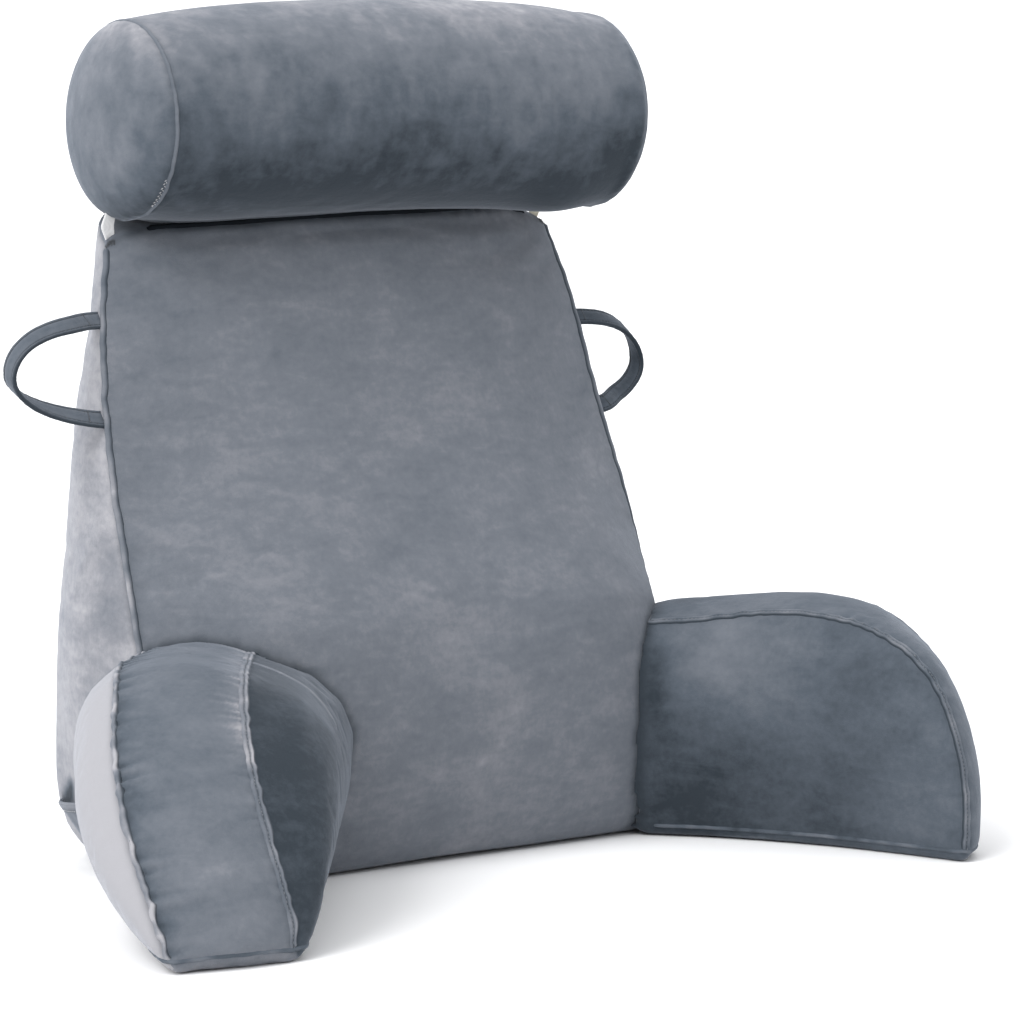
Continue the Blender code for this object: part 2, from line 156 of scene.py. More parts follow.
def makeVelvet(name, facts):
    material, shader = newMaterial(name)
    start = Wire(material.node_tree)
    place = start.node("ShaderNodeTexCoord", {}, {}, 3)
    tone = start.node("ShaderNodeAttribute", {"attribute_name": "tone"}, {}, 2)
    paintedShade = start.node("ShaderNodeAttribute", {"attribute_name": "paintedShade"}, {}, 2)
    stretched = place.node("ShaderNodeMapping", {}, {"Vector": place, "Scale": facts["brushStretch"]})
    patches = place.grain(facts["patchScale"], 3.0, 0.55, 0.6)
    strokes = stretched.grain(facts["brushScale"], 4.0, 0.62, 0.8)
    specks = place.grain(facts["speckScale"], 2.0, 0.6)
    pile = place.grain(facts["pileScale"], 1.0, 0.5)
    patchShare, strokeShare, speckShare, pileShare = facts["shares"]
    nap = patchShare * patches + strokeShare * strokes + speckShare * specks + pileShare * pile
    nap = (nap - facts["average"]) * facts["contrast"] + tone
    shades = ((0.0, "deep"), (0.33, "middle"), (0.66, "pale"), (0.83, "soft"), (1.0, "bright"))
    stops = [(stop, facts[shade]) for stop, shade in shades]
    color = start.node("ShaderNodeValToRGB", {"stops": stops}, {0: nap})
    # painted shade in grooves, folds and where pieces touch darkens the colour towards deep
    paintedShade.clamped().mixed(color, facts["deep"]).into(shader, "Base Color")
    (1.0 - facts["shine"] * nap.clamped()).into(shader, "Roughness")
    pileShare, speckShare, strokeShare = facts["reliefShares"]
    relief = pile * pileShare + specks * speckShare + strokes * strokeShare
    bumped(relief, facts["bump"], facts["pileDepth"]).into(shader, "Normal")
    setConstants(shader, {
        "Sheen Weight": facts["sheen"],
        "Sheen Roughness": facts["sheenRoughness"],
        "Sheen Tint": facts["sheenTint"],
        "Specular IOR Level": 0.12,
    })
    return material


def makeElastic(name, color, shadow):
    # fine ribs along the band, crossed by its weft
    material, shader = newMaterial(name)
    start = Wire(material.node_tree)
    place = start.node("ShaderNodeTexCoord", {}, {}, 3)
    across = start.node("ShaderNodeTexWave", {"bands_direction": "X"}, {"Vector": place, "Scale": 330.0})
    down = start.node("ShaderNodeTexWave", {"bands_direction": "Z"}, {
        "Vector": place, "Scale": 420.0, "Distortion": 2.0, "Detail Scale": 2.0})
    dirt = place.grain(90.0, 3.0, 0.6)
    weave = across * 0.6 + down * 0.4
    (weave * 0.7 + dirt * 0.5).clamped().mixed(shadow, color).into(shader, "Base Color")
    bumped(weave, 0.7, 0.3 * mm).into(shader, "Normal")
    (0.9 - 0.2 * weave).into(shader, "Roughness")
    setConstants(shader, {"Sheen Weight": 0.15, "Specular IOR Level": 0.25})
    return material


def makeThread(name, color):
    material, shader = newMaterial(name)
    place = Wire(material.node_tree).node("ShaderNodeTexCoord", {}, {}, 3)
    twist = place.grain(900.0, 1.0)
    dark = tuple(channel * 0.6 for channel in color[:3]) + (1.0,)
    twist.mixed(dark, color).into(shader, "Base Color")
    bumped(twist, 0.5, 0.2 * mm).into(shader, "Normal")
    setConstants(shader, {"Roughness": 0.75, "Sheen Weight": 0.3})
    return material


# seams: cheapest walks along the creases of a CAD solid

creaseFacts = {
    "sharp": 60,  # degrees from which on a crease counts in full
    "saving": 0.95,  # share of the way that a full crease saves
    "pull": 0.010,  # how far each radian of crease draws a seam's end to it
}


def weldedCopy(node):
    bm = bmesh.new()
    bm.from_mesh(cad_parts[node].data)
    bmesh.ops.remove_doubles(bm, verts=bm.verts, dist=0.01 * mm)
    bm.normal_update()
    return bm


def cheapWalk(begin, goal):
    # a sharp crease costs little to walk along
    best = {begin: 0.0}
    came = {}
    queue = [(0.0, begin.index, begin)]
    while queue:
        cost, _, here = heapq.heappop(queue)
        if here == goal:
            break
        if cost > best[here]:
            continue
        for edge in here.link_edges:
            turn = edge.calc_face_angle_signed(0.0)
            crease = min(max(math.degrees(turn) / creaseFacts["sharp"], 0.0), 1.0)
            there = edge.other_vert(here)
            total = cost + edge.calc_length() * (1 - creaseFacts["saving"] * crease)
            if total < best.get(there, math.inf):
                best[there] = total
                came[there] = here
                heapq.heappush(queue, (total, there.index, there))
    walk = [goal]
    while walk[-1] != begin:
        walk.append(came[walk[-1]])
    return walk[::-1]


def sharpestNear(bm, place):
    # the vertex near the place, with those on a sharp crease preferred
    def cost(v):
        turn = max((edge.calc_face_angle_signed(0.0) for edge in v.link_edges), default=0.0)
        return (v.co - Vector(place)).length - creaseFacts["pull"] * max(turn, 0.0)
    return min(bm.verts, key=cost)


def creaseLine(bm, places):
    stops = [sharpestNear(bm, place) for place in places]
    walk = stops[:1]
    for begin, goal in zip(stops, stops[1:]):
        if begin != goal:
            walk += cheapWalk(begin, goal)[1:]
    return [v.co.copy() for v in walk]


def evenly(line, step, smoothing=2):
    # the line at an even step, with its small corners eased
    points = [Vector(p) for p in line]
    total = sum((b - a).length for a, b in zip(points, points[1:]))
    count = max(2, round(total / step))
    spaced = []
    k = 0
    walked = 0.0
    for i in range(count + 1):
        aim = total * i / count
        while k < len(points) - 2 and walked + (points[k + 1] - points[k]).length < aim:
            walked += (points[k + 1] - points[k]).length
            k += 1
        span = (points[k + 1] - points[k]).length or 1.0
        spaced.append(points[k].lerp(points[k + 1], min((aim - walked) / span, 1.0)))
    for _ in range(smoothing):
        eased = [0.25 * a + 0.5 * b + 0.25 * c for a, b, c in zip(spaced, spaced[1:], spaced[2:])]
        spaced = [spaced[0], *eased, spaced[-1]]
    return spaced


def cutLine(node, point, normal):
    # where a plane cuts the solid, as one closed line; its way round follows the order of the points
    welded = weldedCopy(node)
    bm = welded.copy()
    welded.free()
    geom = bm.verts[:] + bm.edges[:] + bm.faces[:]
    made = bmesh.ops.bisect_plane(bm, geom=geom, plane_co=point, plane_no=normal)["geom_cut"]
    link = {}
    for edge in made:
        if isinstance(edge, bmesh.types.BMEdge):
            a, b = edge.verts
            link.setdefault(a, []).append(b)
            link.setdefault(b, []).append(a)
    line = [max(link, key=lambda v: v.co.x)]
    seen = {line[0]}
    while True:
        ahead = [v for v in link[line[-1]] if v not in seen]
        if not ahead:
            break
        line.append(ahead[0])
        seen.add(ahead[0])
    points = [v.co.copy() for v in line]
    bm.free()
    return evenly(points + points[:1], lineStep, 1)


def longestRun(line, wanted):
    # the longest stretch of a closed line on which every point is wanted
    ring = line[:-1]
    good = [wanted(p) for p in ring]
    if all(good):
        return line
    first = good.index(False)
    ring = ring[first:] + ring[:first]
    good = good[first:] + good[:first]
    best = []
    run = []
    for point, keep in zip(ring + ring[:1], good + [False]):
        if keep:
            run.append(point)
        else:
            best = max(best, run, key=len)
            run = []
    return best


# filled covers

def meshItem(name, bm):
    mesh = bpy.data.meshes.new(name)
    bm.to_mesh(mesh)
    bm.free()
    item = bpy.data.objects.new(name, mesh)
    scene.collection.objects.link(item)
    return item


def applyModifiers(item):
    graph = bpy.context.evaluated_depsgraph_get()
    mesh = bpy.data.meshes.new_from_object(item.evaluated_get(graph))
    old = item.data
    item.modifiers.clear()
    item.data = mesh
    bpy.data.meshes.remove(old)


def readVectors(items, key):
    flat = np.zeros(len(items) * 3, np.float32)
    items.foreach_get(key, flat)
    return flat.reshape(-1, 3).astype(float)


def readPoints(mesh):
    return readVectors(mesh.vertices, "co")


def writePoints(mesh, points):
    mesh.vertices.foreach_set("co", points.astype(np.float32).ravel())
    mesh.update()


def storeValues(mesh, name, values):
    layer = mesh.attributes.new(name, "FLOAT", "POINT")
    layer.data.foreach_set("value", np.asarray(values, np.float32))


def smoothStep(t):
    t = np.clip(t, 0.0, 1.0)
    return t * t * (3 - 2 * t)


def treeOf(item):
    bm = bmesh.new()
    bm.from_mesh(item.data)
    tree = BVHTree.FromBMesh(bm)
    bm.free()
    return tree


class SeamMap:
    # for each point: how far the nearest seam is, where along it, and on which side
    def __init__(self, lines, tree):
        self.seams = []
        for line in lines:
            kd = KDTree(len(line))
            rows = []
            walked = 0.0
            for i, spot in enumerate(line):
                ahead = line[min(i + 6, len(line) - 1)] - line[max(i - 6, 0)]
                # the cloth on both sides of the seam counts, so that the sides stay told apart
                near = tree.find_nearest_range(spot, 12 * mm)
                normal = sum((hit[1] for hit in near), Vector()).normalized()
                kd.insert(spot, i)
                rows.append((walked, normal, ahead.normalized().cross(normal)))
                if i + 1 < len(line):
                    walked += (line[i + 1] - spot).length
            kd.balance()
            self.seams.append((kd, rows))

    def read(self, points, normals):
        distance = np.zeros(len(points))
        along = np.zeros(len(points))
        line = np.zeros(len(points), int)
        side = np.zeros(len(points))
        for i, (point, facing) in enumerate(zip(points, normals)):
            best = math.inf
            here = Vector(point)
            for number, (kd, rows) in enumerate(self.seams):
                spot, k, gap = kd.find(here)
                walked, normal, lateral = rows[k]
                # a seam on the far side of the cushion counts as further off
                cost = gap * (1.5 - 0.5 * normal.dot(facing))
                if cost < best:
                    best = cost
                    distance[i], along[i], line[i] = gap, walked, number
                    side[i] = 1.0 if (here - spot).dot(lateral) > 0 else -1.0
        return distance, along, line, side


def noiseAt(points, size, seed):
    # size is that of a patch, in metres, in one number or along X, Y and Z
    spots = points / np.array(size) + np.array((seed * 7.3, seed * 3.1, seed * 5.7))
    return np.array([noise.noise(p) for p in spots.tolist()])


def noiseAlong(along, line, scale, seed):
    # read on a fine even table, because many points share one place along a seam
    step = 0.5 * mm
    count = int(along.max() / step) + 2
    made = {}
    for k in set(line.tolist()):
        made[k] = np.array([noise.noise((i * step * scale, seed, 9.1 * k)) for i in range(count)])
    spot = (along / step).astype(int)
    out = np.zeros(len(along))
    for k, row in made.items():
        mine = line == k
        out[mine] = row[spot[mine]]
    return out


clothFacts = {
    "quality": 5,
    "mass": 0.3,
    "tension_stiffness": 25,
    "compression_stiffness": 12,
    "shear_stiffness": 8,
    "use_pressure": True,
    "vertex_group_mass": "held",
}


def swellCover(item, facts, lines, keepStill):
    # pressure from inside, with the seams and the resting places held
    before = readPoints(item.data)
    kd = KDTree(sum(len(line) for line in lines))
    spots = [spot for line in lines for spot in line]
    for i, spot in enumerate(spots):
        kd.insert(spot, i)
    kd.balance()
    held = item.vertex_groups.new(name="held")
    for i, point in enumerate(before):
        gap = kd.find(point)[2]
        weight = max(math.exp(-(gap / facts["seamHold"]) ** 2), keepStill(point))
        held.add([i], min(weight, 1.0), "REPLACE")
    cloth = item.modifiers.new("filling", "CLOTH")
    for name, value in clothFacts.items():
        setattr(cloth.settings, name, value)
    cloth.settings.bending_stiffness = facts["bending"]
    cloth.settings.shrink_min = -facts["ease"]
    cloth.settings.uniform_pressure_force = facts["pressure"]
    cloth.settings.effector_weights.gravity = 0
    cloth.collision_settings.use_collision = False
    for number in range(1, facts["frames"] + 1):
        scene.frame_set(number)
    graph = bpy.context.evaluated_depsgraph_get()
    after = readPoints(item.evaluated_get(graph).data)
    item.modifiers.clear()
    item.vertex_groups.clear()
    scene.frame_set(1)
    move = after - before
    far = np.linalg.norm(move, axis=1)
    far[far == 0] = 1e-9
    limit = facts["swellLimit"]
    eased = limit * np.tanh(far / limit)
    writePoints(item.data, before + move * (eased / far)[:, None])


def filledCover(name, node, facts, lines, keepStill):
    bm = weldedCopy(node)
    for v in bm.verts:
        onFloor = v.co.z < 2 * mm
        v.co -= v.normal * facts["inset"]
        if onFloor:
            v.co.z = 0.4 * mm
    item = meshItem(name, bm)
    remesh = item.modifiers.new("even", "REMESH")
    remesh.mode = "VOXEL"
    remesh.voxel_size = facts["voxel"]
    applyModifiers(item)
    swellCover(item, facts, lines, keepStill)
    finer = item.modifiers.new("finer", "SUBSURF")
    finer.levels = 1
    finer.render_levels = 1
    applyModifiers(item)
    print(name, len(item.data.vertices), "points")
    return item


dressFacts = {
    "puckerStart": 2.5 * mm,  # from the seam
    "crinkleStart": 5 * mm,
    "calmBySeam": 25 * mm,  # the filling is even this near to a seam
    # the seam strokes, of lighter nap and of painted crease shade, set in over this height above their lowest
    # point
    "strokeRise": 0.03,  # over which frays set in above their lowest point
}


def nearness(points, place, reach):
    # 1 at the place, fading out around it
    return np.exp(-(np.linalg.norm(points - np.array(place), axis=1) / reach) ** 2)


def dressCover(item, lines, facts, panelTones):
    # draws the cloth in at its seams, puckers it beside them and lets it lie a little unevenly
    mesh = item.data
    points = readPoints(mesh)
    normals = readVectors(mesh.vertex_normals, "vector")
    distance, along, line, side = SeamMap(lines, treeOf(item)).read(points, normals)

    def beside(numbers, way):
        return np.isin(line, numbers) & (side * way >= 0)

    def streaks(scale, seed):
        return noiseAlong(along, line, scale, seed)

    push = -facts["grooveDepth"] * np.exp(-(distance / facts["grooveWidth"]) ** 2)
    paintedPuckerShade = np.zeros(len(points))
    for number, (numbers, way, spacing, reach, depth, drift, shade) in enumerate(facts["puckers"]):
        wave = np.sin(2 * math.pi * (along / spacing + 1.6 * streaks(drift, 3.7 + number)))
        strength = 0.5 + 1.1 * streaks(0.45 / spacing, 8.3 + number)
        reach = reach * (0.75 + 0.8 * streaks(0.9 / spacing, 5.9 + number))
        fade = np.clip(1 - distance / np.maximum(reach, 2 * mm), 0, 1) ** 1.4
        start = np.clip(distance / dressFacts["puckerStart"], 0, 1)
        swell = beside(numbers, way) * wave * np.clip(strength, 0, 1.4) * fade * start
        push += depth * mm * swell
        # painted shade in each pucker's trough and painted light on its crest
        paintedPuckerShade += shade * swell
    clear = np.clip(distance / dressFacts["calmBySeam"], 0, 1)
    for seed, (size, depth) in enumerate(facts["rolls"]):
        push += clear * depth * noiseAt(points, size, seed + facts["seed"])
    for place, reach, depth in facts["fuller"]:
        push += depth * nearness(points, place, reach)
    for crinkle in facts["crinkles"]:
        window = nearness(points, crinkle["place"], crinkle["reach"])
        window *= np.clip(distance / dressFacts["crinkleStart"], 0, 1)
        near = window > 0.02
        spots = points[near]
        drift = noiseAt(spots, crinkle["spacing"] / 0.35, 41)
        wave = np.sin(2 * math.pi * (spots @ np.array(crinkle["way"]) / crinkle["spacing"] + 1.3 * drift))
        gain = np.clip(0.6 + noiseAt(spots, crinkle["spacing"] / 0.22, 43), 0, 1.3)
        push[near] += crinkle["depth"] * wave * gain * window[near]
    points += normals * push[:, None]
    points[:, 2] = np.maximum(points[:, 2], floorGap)
    writePoints(mesh, points)
    # painted light on cloth facing up, and painted light and shade across the puckers
    tone = panelTones(points, line, side) + facts["paintedTopLight"] * normals[:, 2] + paintedPuckerShade
    for place, reach, change in facts["napAndShadePatches"]:
        tone += change * nearness(points, place, reach)
    for seed, (size, change) in enumerate(facts["mottles"]):
        tone += change * noiseAt(points, size, 61 + seed + facts["seed"])
    for seamStroke in facts["napStrokesAndCreaseShade"]:
        # short strokes across a seam: lighter ones of crushed nap, darker ones painted shade in its creases
        rise = smoothStep((points[:, 2] - seamStroke["above"]) / dressFacts["strokeRise"])
        mine = beside(seamStroke["lines"], seamStroke["side"]) * rise
        streak = np.clip(0.8 + 0.9 * streaks(1 / seamStroke["spacing"], 13.7), 0, 1.5)
        reach = seamStroke["reach"] * (0.5 + 1.1 * np.abs(streaks(0.5 / seamStroke["spacing"], 17.3)))
        tone += mine * seamStroke["change"] * streak * np.exp(-(distance / reach) ** 2)
    storeValues(mesh, "tone", tone)
    # painted shade in the grooves beside the seams
    storeValues(mesh, "paintedShade", facts["grooveShade"] * np.exp(-(distance / facts["shadeReach"]) ** 2))
    mesh.shade_smooth()


def closeUp(item, tree, reach):
    # draws the cloth that faces a neighbour up against it
    points = readPoints(item.data)
    for i, point in enumerate(points):
        spot, normal, _, away = tree.find_nearest(Vector(point), reach)
        if spot is not None:
            share = 1 - smoothStep((away / reach - 0.4) / 0.6)
            points[i] += (np.array(spot + normal * closeGap) - point) * share
    points[:, 2] = np.maximum(points[:, 2], floorGap)
    writePoints(item.data, points)


def paintContactShade(item, tree, reach, amount):
    # painted shade: darkens the cloth where it lies against a neighbour
    points = readPoints(item.data)
    layer = item.data.attributes["paintedShade"].data
    for i, point in enumerate(points):
        away = tree.find_nearest(Vector(point), 2.5 * reach)[3]
        if away is not None:
            layer[i].value = max(layer[i].value, amount * math.exp(-(away / reach) ** 2))


# strips laid on the covers

def laidGrid(name, rows, marks, closedAlong=False):
    # a closed section carried along; marks gives the tone and the painted shade of each section point,
    # for each row or for all of them
    across = len(rows[0]) - 1
    along = len(rows) - 1
    bm = bmesh.new()
    bmesh.ops.create_grid(bm, x_segments=across, y_segments=along, size=1.0)
    layers = {key: bm.verts.layers.float.new(key) for key in marks}
    shape = (along + 1, across + 1)
    marks = {key: np.broadcast_to(np.array(values), shape) for key, values in marks.items()}
    for v in bm.verts:
        i = round((v.co.x + 1) * across / 2)
        k = round((v.co.y + 1) * along / 2)
        v.co = rows[k][i]
        for key, layer in layers.items():
            v[layer] = marks[key][k, i]
    bmesh.ops.remove_doubles(bm, verts=bm.verts, dist=0.001 * mm)
    if not closedAlong:
        bmesh.ops.holes_fill(bm, edges=[e for e in bm.edges if e.is_boundary])
        bmesh.ops.triangulate(bm, faces=[f for f in bm.faces if len(f.verts) > 4])
    bmesh.ops.recalc_face_normals(bm, faces=bm.faces)
    item = meshItem(name, bm)
    item.data.shade_smooth()
    return item


def evened(rows, passes, closed):
    for _ in range(passes):
        if closed:
            rows = 0.25 * np.roll(rows, 1, 0) + 0.5 * rows + 0.25 * np.roll(rows, -1, 0)
        else:
            middle = 0.25 * rows[:-2] + 0.5 * rows[1:-1] + 0.25 * rows[2:]
            rows = np.concatenate([rows[:1], middle, rows[-1:]])
    return rows


def footing(tree, spots, passes, closed):
    # where the spots touch the cover, and its evened normals there
    hits = [tree.find_nearest(Vector(spot))[:2] for spot in spots]
    feet = evened(np.array([foot for foot, _ in hits]), 2, closed)
    return feet, evened(np.array([normal for _, normal in hits]), passes, closed)


def seamBand(name, cover, line, facts, closed=False):
    # the turned and topstitched allowance that stands a little proud of the cover
    def wobble(count, size, height):
        # a closed band has none, so that its two ends meet
        if closed:
            return np.zeros(count)
        places = np.arange(count) * facts["step"] / size
        return np.array([noise.noise((p, facts["seed"], height)) for p in places])

    tree = treeOf(cover)
    line = np.array(evenly(line, facts["step"], 1))
    if closed:
        line = line[:-1]
    count = len(line)
    ahead = np.roll(line, -1, 0) - np.roll(line, 1, 0)
    if not closed:
        ahead[0], ahead[-1] = line[1] - line[0], line[-1] - line[-2]
    feet, normals = footing(tree, line, 6, closed)
    lateral = np.cross(evened(ahead, 3, closed), normals)
    lateral /= np.linalg.norm(lateral, axis=1)[:, None]
    wander = facts["wander"] * wobble(count, 0.021, 0.5)
    puff = 1 + facts["scallop"] * wobble(count, facts["scallopStep"], 4.5)
    number = np.arange(count)
    ends = np.ones(count) if closed else np.clip(np.minimum(number, count - 1 - number) / 3, 0, 1)
    columns = []
    for across, height, _, _ in facts["profile"]:
        reach = feet + lateral * (across * facts["side"] * mm * puff + wander)[:, None]
        down, out = footing(tree, reach, 3, closed)
        out = out + normals
        out /= np.linalg.norm(out, axis=1)[:, None]
        lift = height * mm * (puff if height > 0 else 1.0)
        if height > 0:
            lift = lift * ends - (1 - ends) * 0.5 * mm
        columns.append(down + out * np.broadcast_to(lift, (count,))[:, None])
    columns.append(columns[0])
    rows = np.stack(columns, axis=1)
    if closed:
        rows = np.concatenate([rows, rows[:1]])
    profile = list(facts["profile"]) + [facts["profile"][0]]
    above, change = facts["higher"]
    changes = facts["patchy"] * wobble(len(rows), 0.011, 8.5)
    changes = changes + change * smoothStep((rows[:, 0, 2] - above) / 0.05)
    tones = facts["tone"] + np.array([light for *_, light in profile]) + changes[:, None]
    marks = {"tone": tones, "paintedShade": [dark for *_, dark, _ in profile]}
    return laidGrid(name, rows, marks, closedAlong=closed)


def bandSpots(cover, line, facts):
    # where the stitches of a band go, as places and directions
    tree = treeOf(cover)
    line = evenly(line, facts["pitch"], 1)
    spots = []
    for before, here, after in zip(line, line[1:], line[2:]):
        ahead = (after - before).normalized()
        foot, normal, _, _ = tree.find_nearest(here)
        down, out, _, _ = tree.find_nearest(foot + ahead.cross(normal) * facts["sideways"])
        spots.append((down + out * facts["lift"], ahead))
    return spots


def finishPiece(item, material, slotName, *nodes):
    item.data.materials.clear()
    item.data.materials.append(material)
    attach(item, "root")
    if nodes:
        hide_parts(*nodes)
    return item


def stitchItem(name, spots, facts, material, slotName):
    # each stitch is a small bead of thread
    bm = bmesh.new()
    size = Matrix.Diagonal((facts["length"] / 2, facts["thick"] / 2, facts["thick"] / 2, 1))
    for place, way in spots:
        turn = way.to_track_quat("X", "Z").to_matrix().to_4x4()
        place = Matrix.Translation(place)
        bmesh.ops.create_icosphere(bm, subdivisions=1, radius=1.0, matrix=place @ turn @ size)
    item = meshItem(name, bm)
    item.data.shade_smooth()
    return finishPiece(item, material, slotName)


upholstery = makeVelvet("upholstery", velvet)
# the same cloth painted near-black and without sheen, as the shadow in the gap under the roll
paintedShadowFacts = {
    **velvet,
    "deep": (0.006, 0.008, 0.011, 1.0),
    "middle": (0.014, 0.018, 0.023, 1.0),
    "sheen": 0.0,
}
paintedShadowVelvet = makeVelvet("painted_shadow_velvet", paintedShadowFacts)
solidTree = BVHTree.FromBMesh(weldedCopy("back_cushion"))


def makeCover(name, node, facts, lines, keepStill, tones):
    cover = filledCover(name, node, facts, lines, keepStill)
    dressCover(cover, lines, facts, tones)
    finishPiece(cover, upholstery, "upholstery", node)
    return cover


def nearFloor(point):
    return 1.0 if point[2] < 6 * mm else 0.0


def nearBack(point, reach):
    gap = solidTree.find_nearest(Vector(point))[3]
    return math.exp(-(gap / reach) ** 2)


def byPanel(panels):
    # each seam has the tone of the panel on its one side, then of that on its other side
    table = np.array(panels)

    def read(points, line, side):
        return table[line, (side > 0).astype(int)]
    return read


# what a cover has none of, unless it says so
plainCover = {"puckers": (), "fuller": (), "crinkles": (), "napStrokesAndCreaseShade": (), "napAndShadePatches": ()}


# back cushion
# the solid shrinks by the inset, and pressure then fills it again, held near its seams;
# rolls are the filling's unevenness, by size and depth; the tone of cloth facing up is painted lighter, as
# painted light from above (darker where that number is negative)

backFacts = {
    **plainCover,
    "fill": 0.85,
    "inset": 1.0 * mm,
    "voxel": 6.0 * mm,
    "seamHold": 7 * mm,
    "pressure": 3.0,
    "bending": 4.0,
    "ease": 0.003,
    "frames": 16,
    "swellLimit": 5 * mm,
    "rollRest": 0.492,  # the height from which on the roll presses on it
    "grooveDepth": 1.6 * mm,
    "grooveWidth": 5.0 * mm,
    "grooveShade": 0.95,
    "shadeReach": 5.0 * mm,
    "seed": 2,
    "rolls": ((0.16, 2.2 * mm), (0.055, 0.6 * mm), (0.022, 0.16 * mm)),
    # seams, side, spacing, reach, depth in millimetres, drift, and how much shade is painted in the troughs and
    # light on the crests
    "puckers": (
        ((0, 1), 1, 0.017, 0.024, 0.4, 17, 0.0),
        ((0, 1), -1, 0.023, 0.022, 0.4, 15, 0.0),
        ((2,), 1, 0.020, 0.030, 0.7, 16, 0.0),
    ),
    # places where the filling stands out or has settled: middle, reach and how far
    "fuller": (((-0.205, 0.098, 0.430), 0.060, -5.0 * mm),),
    "paintedTopLight": 0.05,
    # patch size and how much the nap's tone changes from one to the next
    "mottles": (((0.060, 0.060, 0.026), 0.05), ((0.018, 0.018, 0.006), 0.05), ((0.010, 0.010, 0.004), 0.04)),
    # patches where the nap lies lighter or darker, among them painted light and painted shade: middle, reach,
    # and how much lighter the tone is there
    "napAndShadePatches": (
        ((-0.199, 0.028, 0.455), 0.050, -0.08),
        ((-0.108, 0.020, 0.490), 0.060, -0.06),
        ((-0.150, -0.060, 0.270), 0.050, -0.04),
        # painted light low on the front, where the arms shade it
        ((0.000, -0.110, 0.040), 0.120, 0.08),
        # painted shade in a small dimple
        ((-0.104, -0.009, 0.401), 0.005, -0.16),
        ((-0.120, -0.080, 0.245), 0.018, -0.08),
        ((-0.258, -0.006, 0.205), 0.026, -0.20),
        ((-0.257, 0.000, 0.245), 0.024, -0.12),
        # the next three: painted shadow in the mouth of the pocket
        ((-0.246, 0.079, 0.053), 0.007, -0.90),
        ((-0.247, 0.072, 0.057), 0.007, -0.90),
        ((-0.247, 0.069, 0.064), 0.005, -0.60),
    ),
}
# the left side panel is painted far lighter than the right one: partly the nap's own tone, partly painted light
# from the key on the left
frontTone, sideTone, farSideTone, rearTone, topTone = 0.62, 0.94, 0.60, 0.50, 0.54
frontSeam = ((-0.252, -0.095, 0.003), (-0.259, -0.040, 0.185), (-0.251, 0.009, 0.330), (-0.222, 0.054, 0.493))
rearSeam = ((-0.237, 0.104, 0.010), (-0.217, 0.109, 0.330), (-0.195, 0.103, 0.511))


def mirrored(places):
    return tuple((-x, y, z) for x, y, z in places)


def acrossTop(places):
    # from the upper end of a seam to that of its twin
    return places[-1:] + mirrored(places[-1:])


topSeam = (frontSeam[-1], rearSeam[-1])
# each seam, and the tones of the panels that it joins
backSeams = (
    (frontSeam, (sideTone, frontTone)),
    (mirrored(frontSeam), (frontTone, farSideTone)),
    (acrossTop(frontSeam), (topTone, frontTone)),
    (rearSeam, (rearTone, sideTone)),
    (mirrored(rearSeam), (farSideTone, rearTone)),
    (acrossTop(rearSeam), (rearTone, topTone)),
    (topSeam, (sideTone, topTone)),
    (mirrored(topSeam), (topTone, farSideTone)),
)


def seamLines(node, seams, easing):
    bm = weldedCopy(node)
    lines = [evenly(creaseLine(bm, places), lineStep, easing) for places in seams]
    bm.free()
    for line in lines:
        length = sum((b - a).length for a, b in zip(line, line[1:]))
        print(node, "seam", round(length * 1000), "mm")
    return lines


def backStill(point):
    pressed = 1.0 if point[2] > backFacts["rollRest"] else 0.0
    return max(nearFloor(point), pressed)


backLines = seamLines("back_cushion", [places for places, _ in backSeams], 4)
backTones = byPanel([tones for _, tones in backSeams])
back = makeCover("back_cover", "back_cushion", backFacts, backLines, backStill, backTones)
backTree = treeOf(back)


# arms

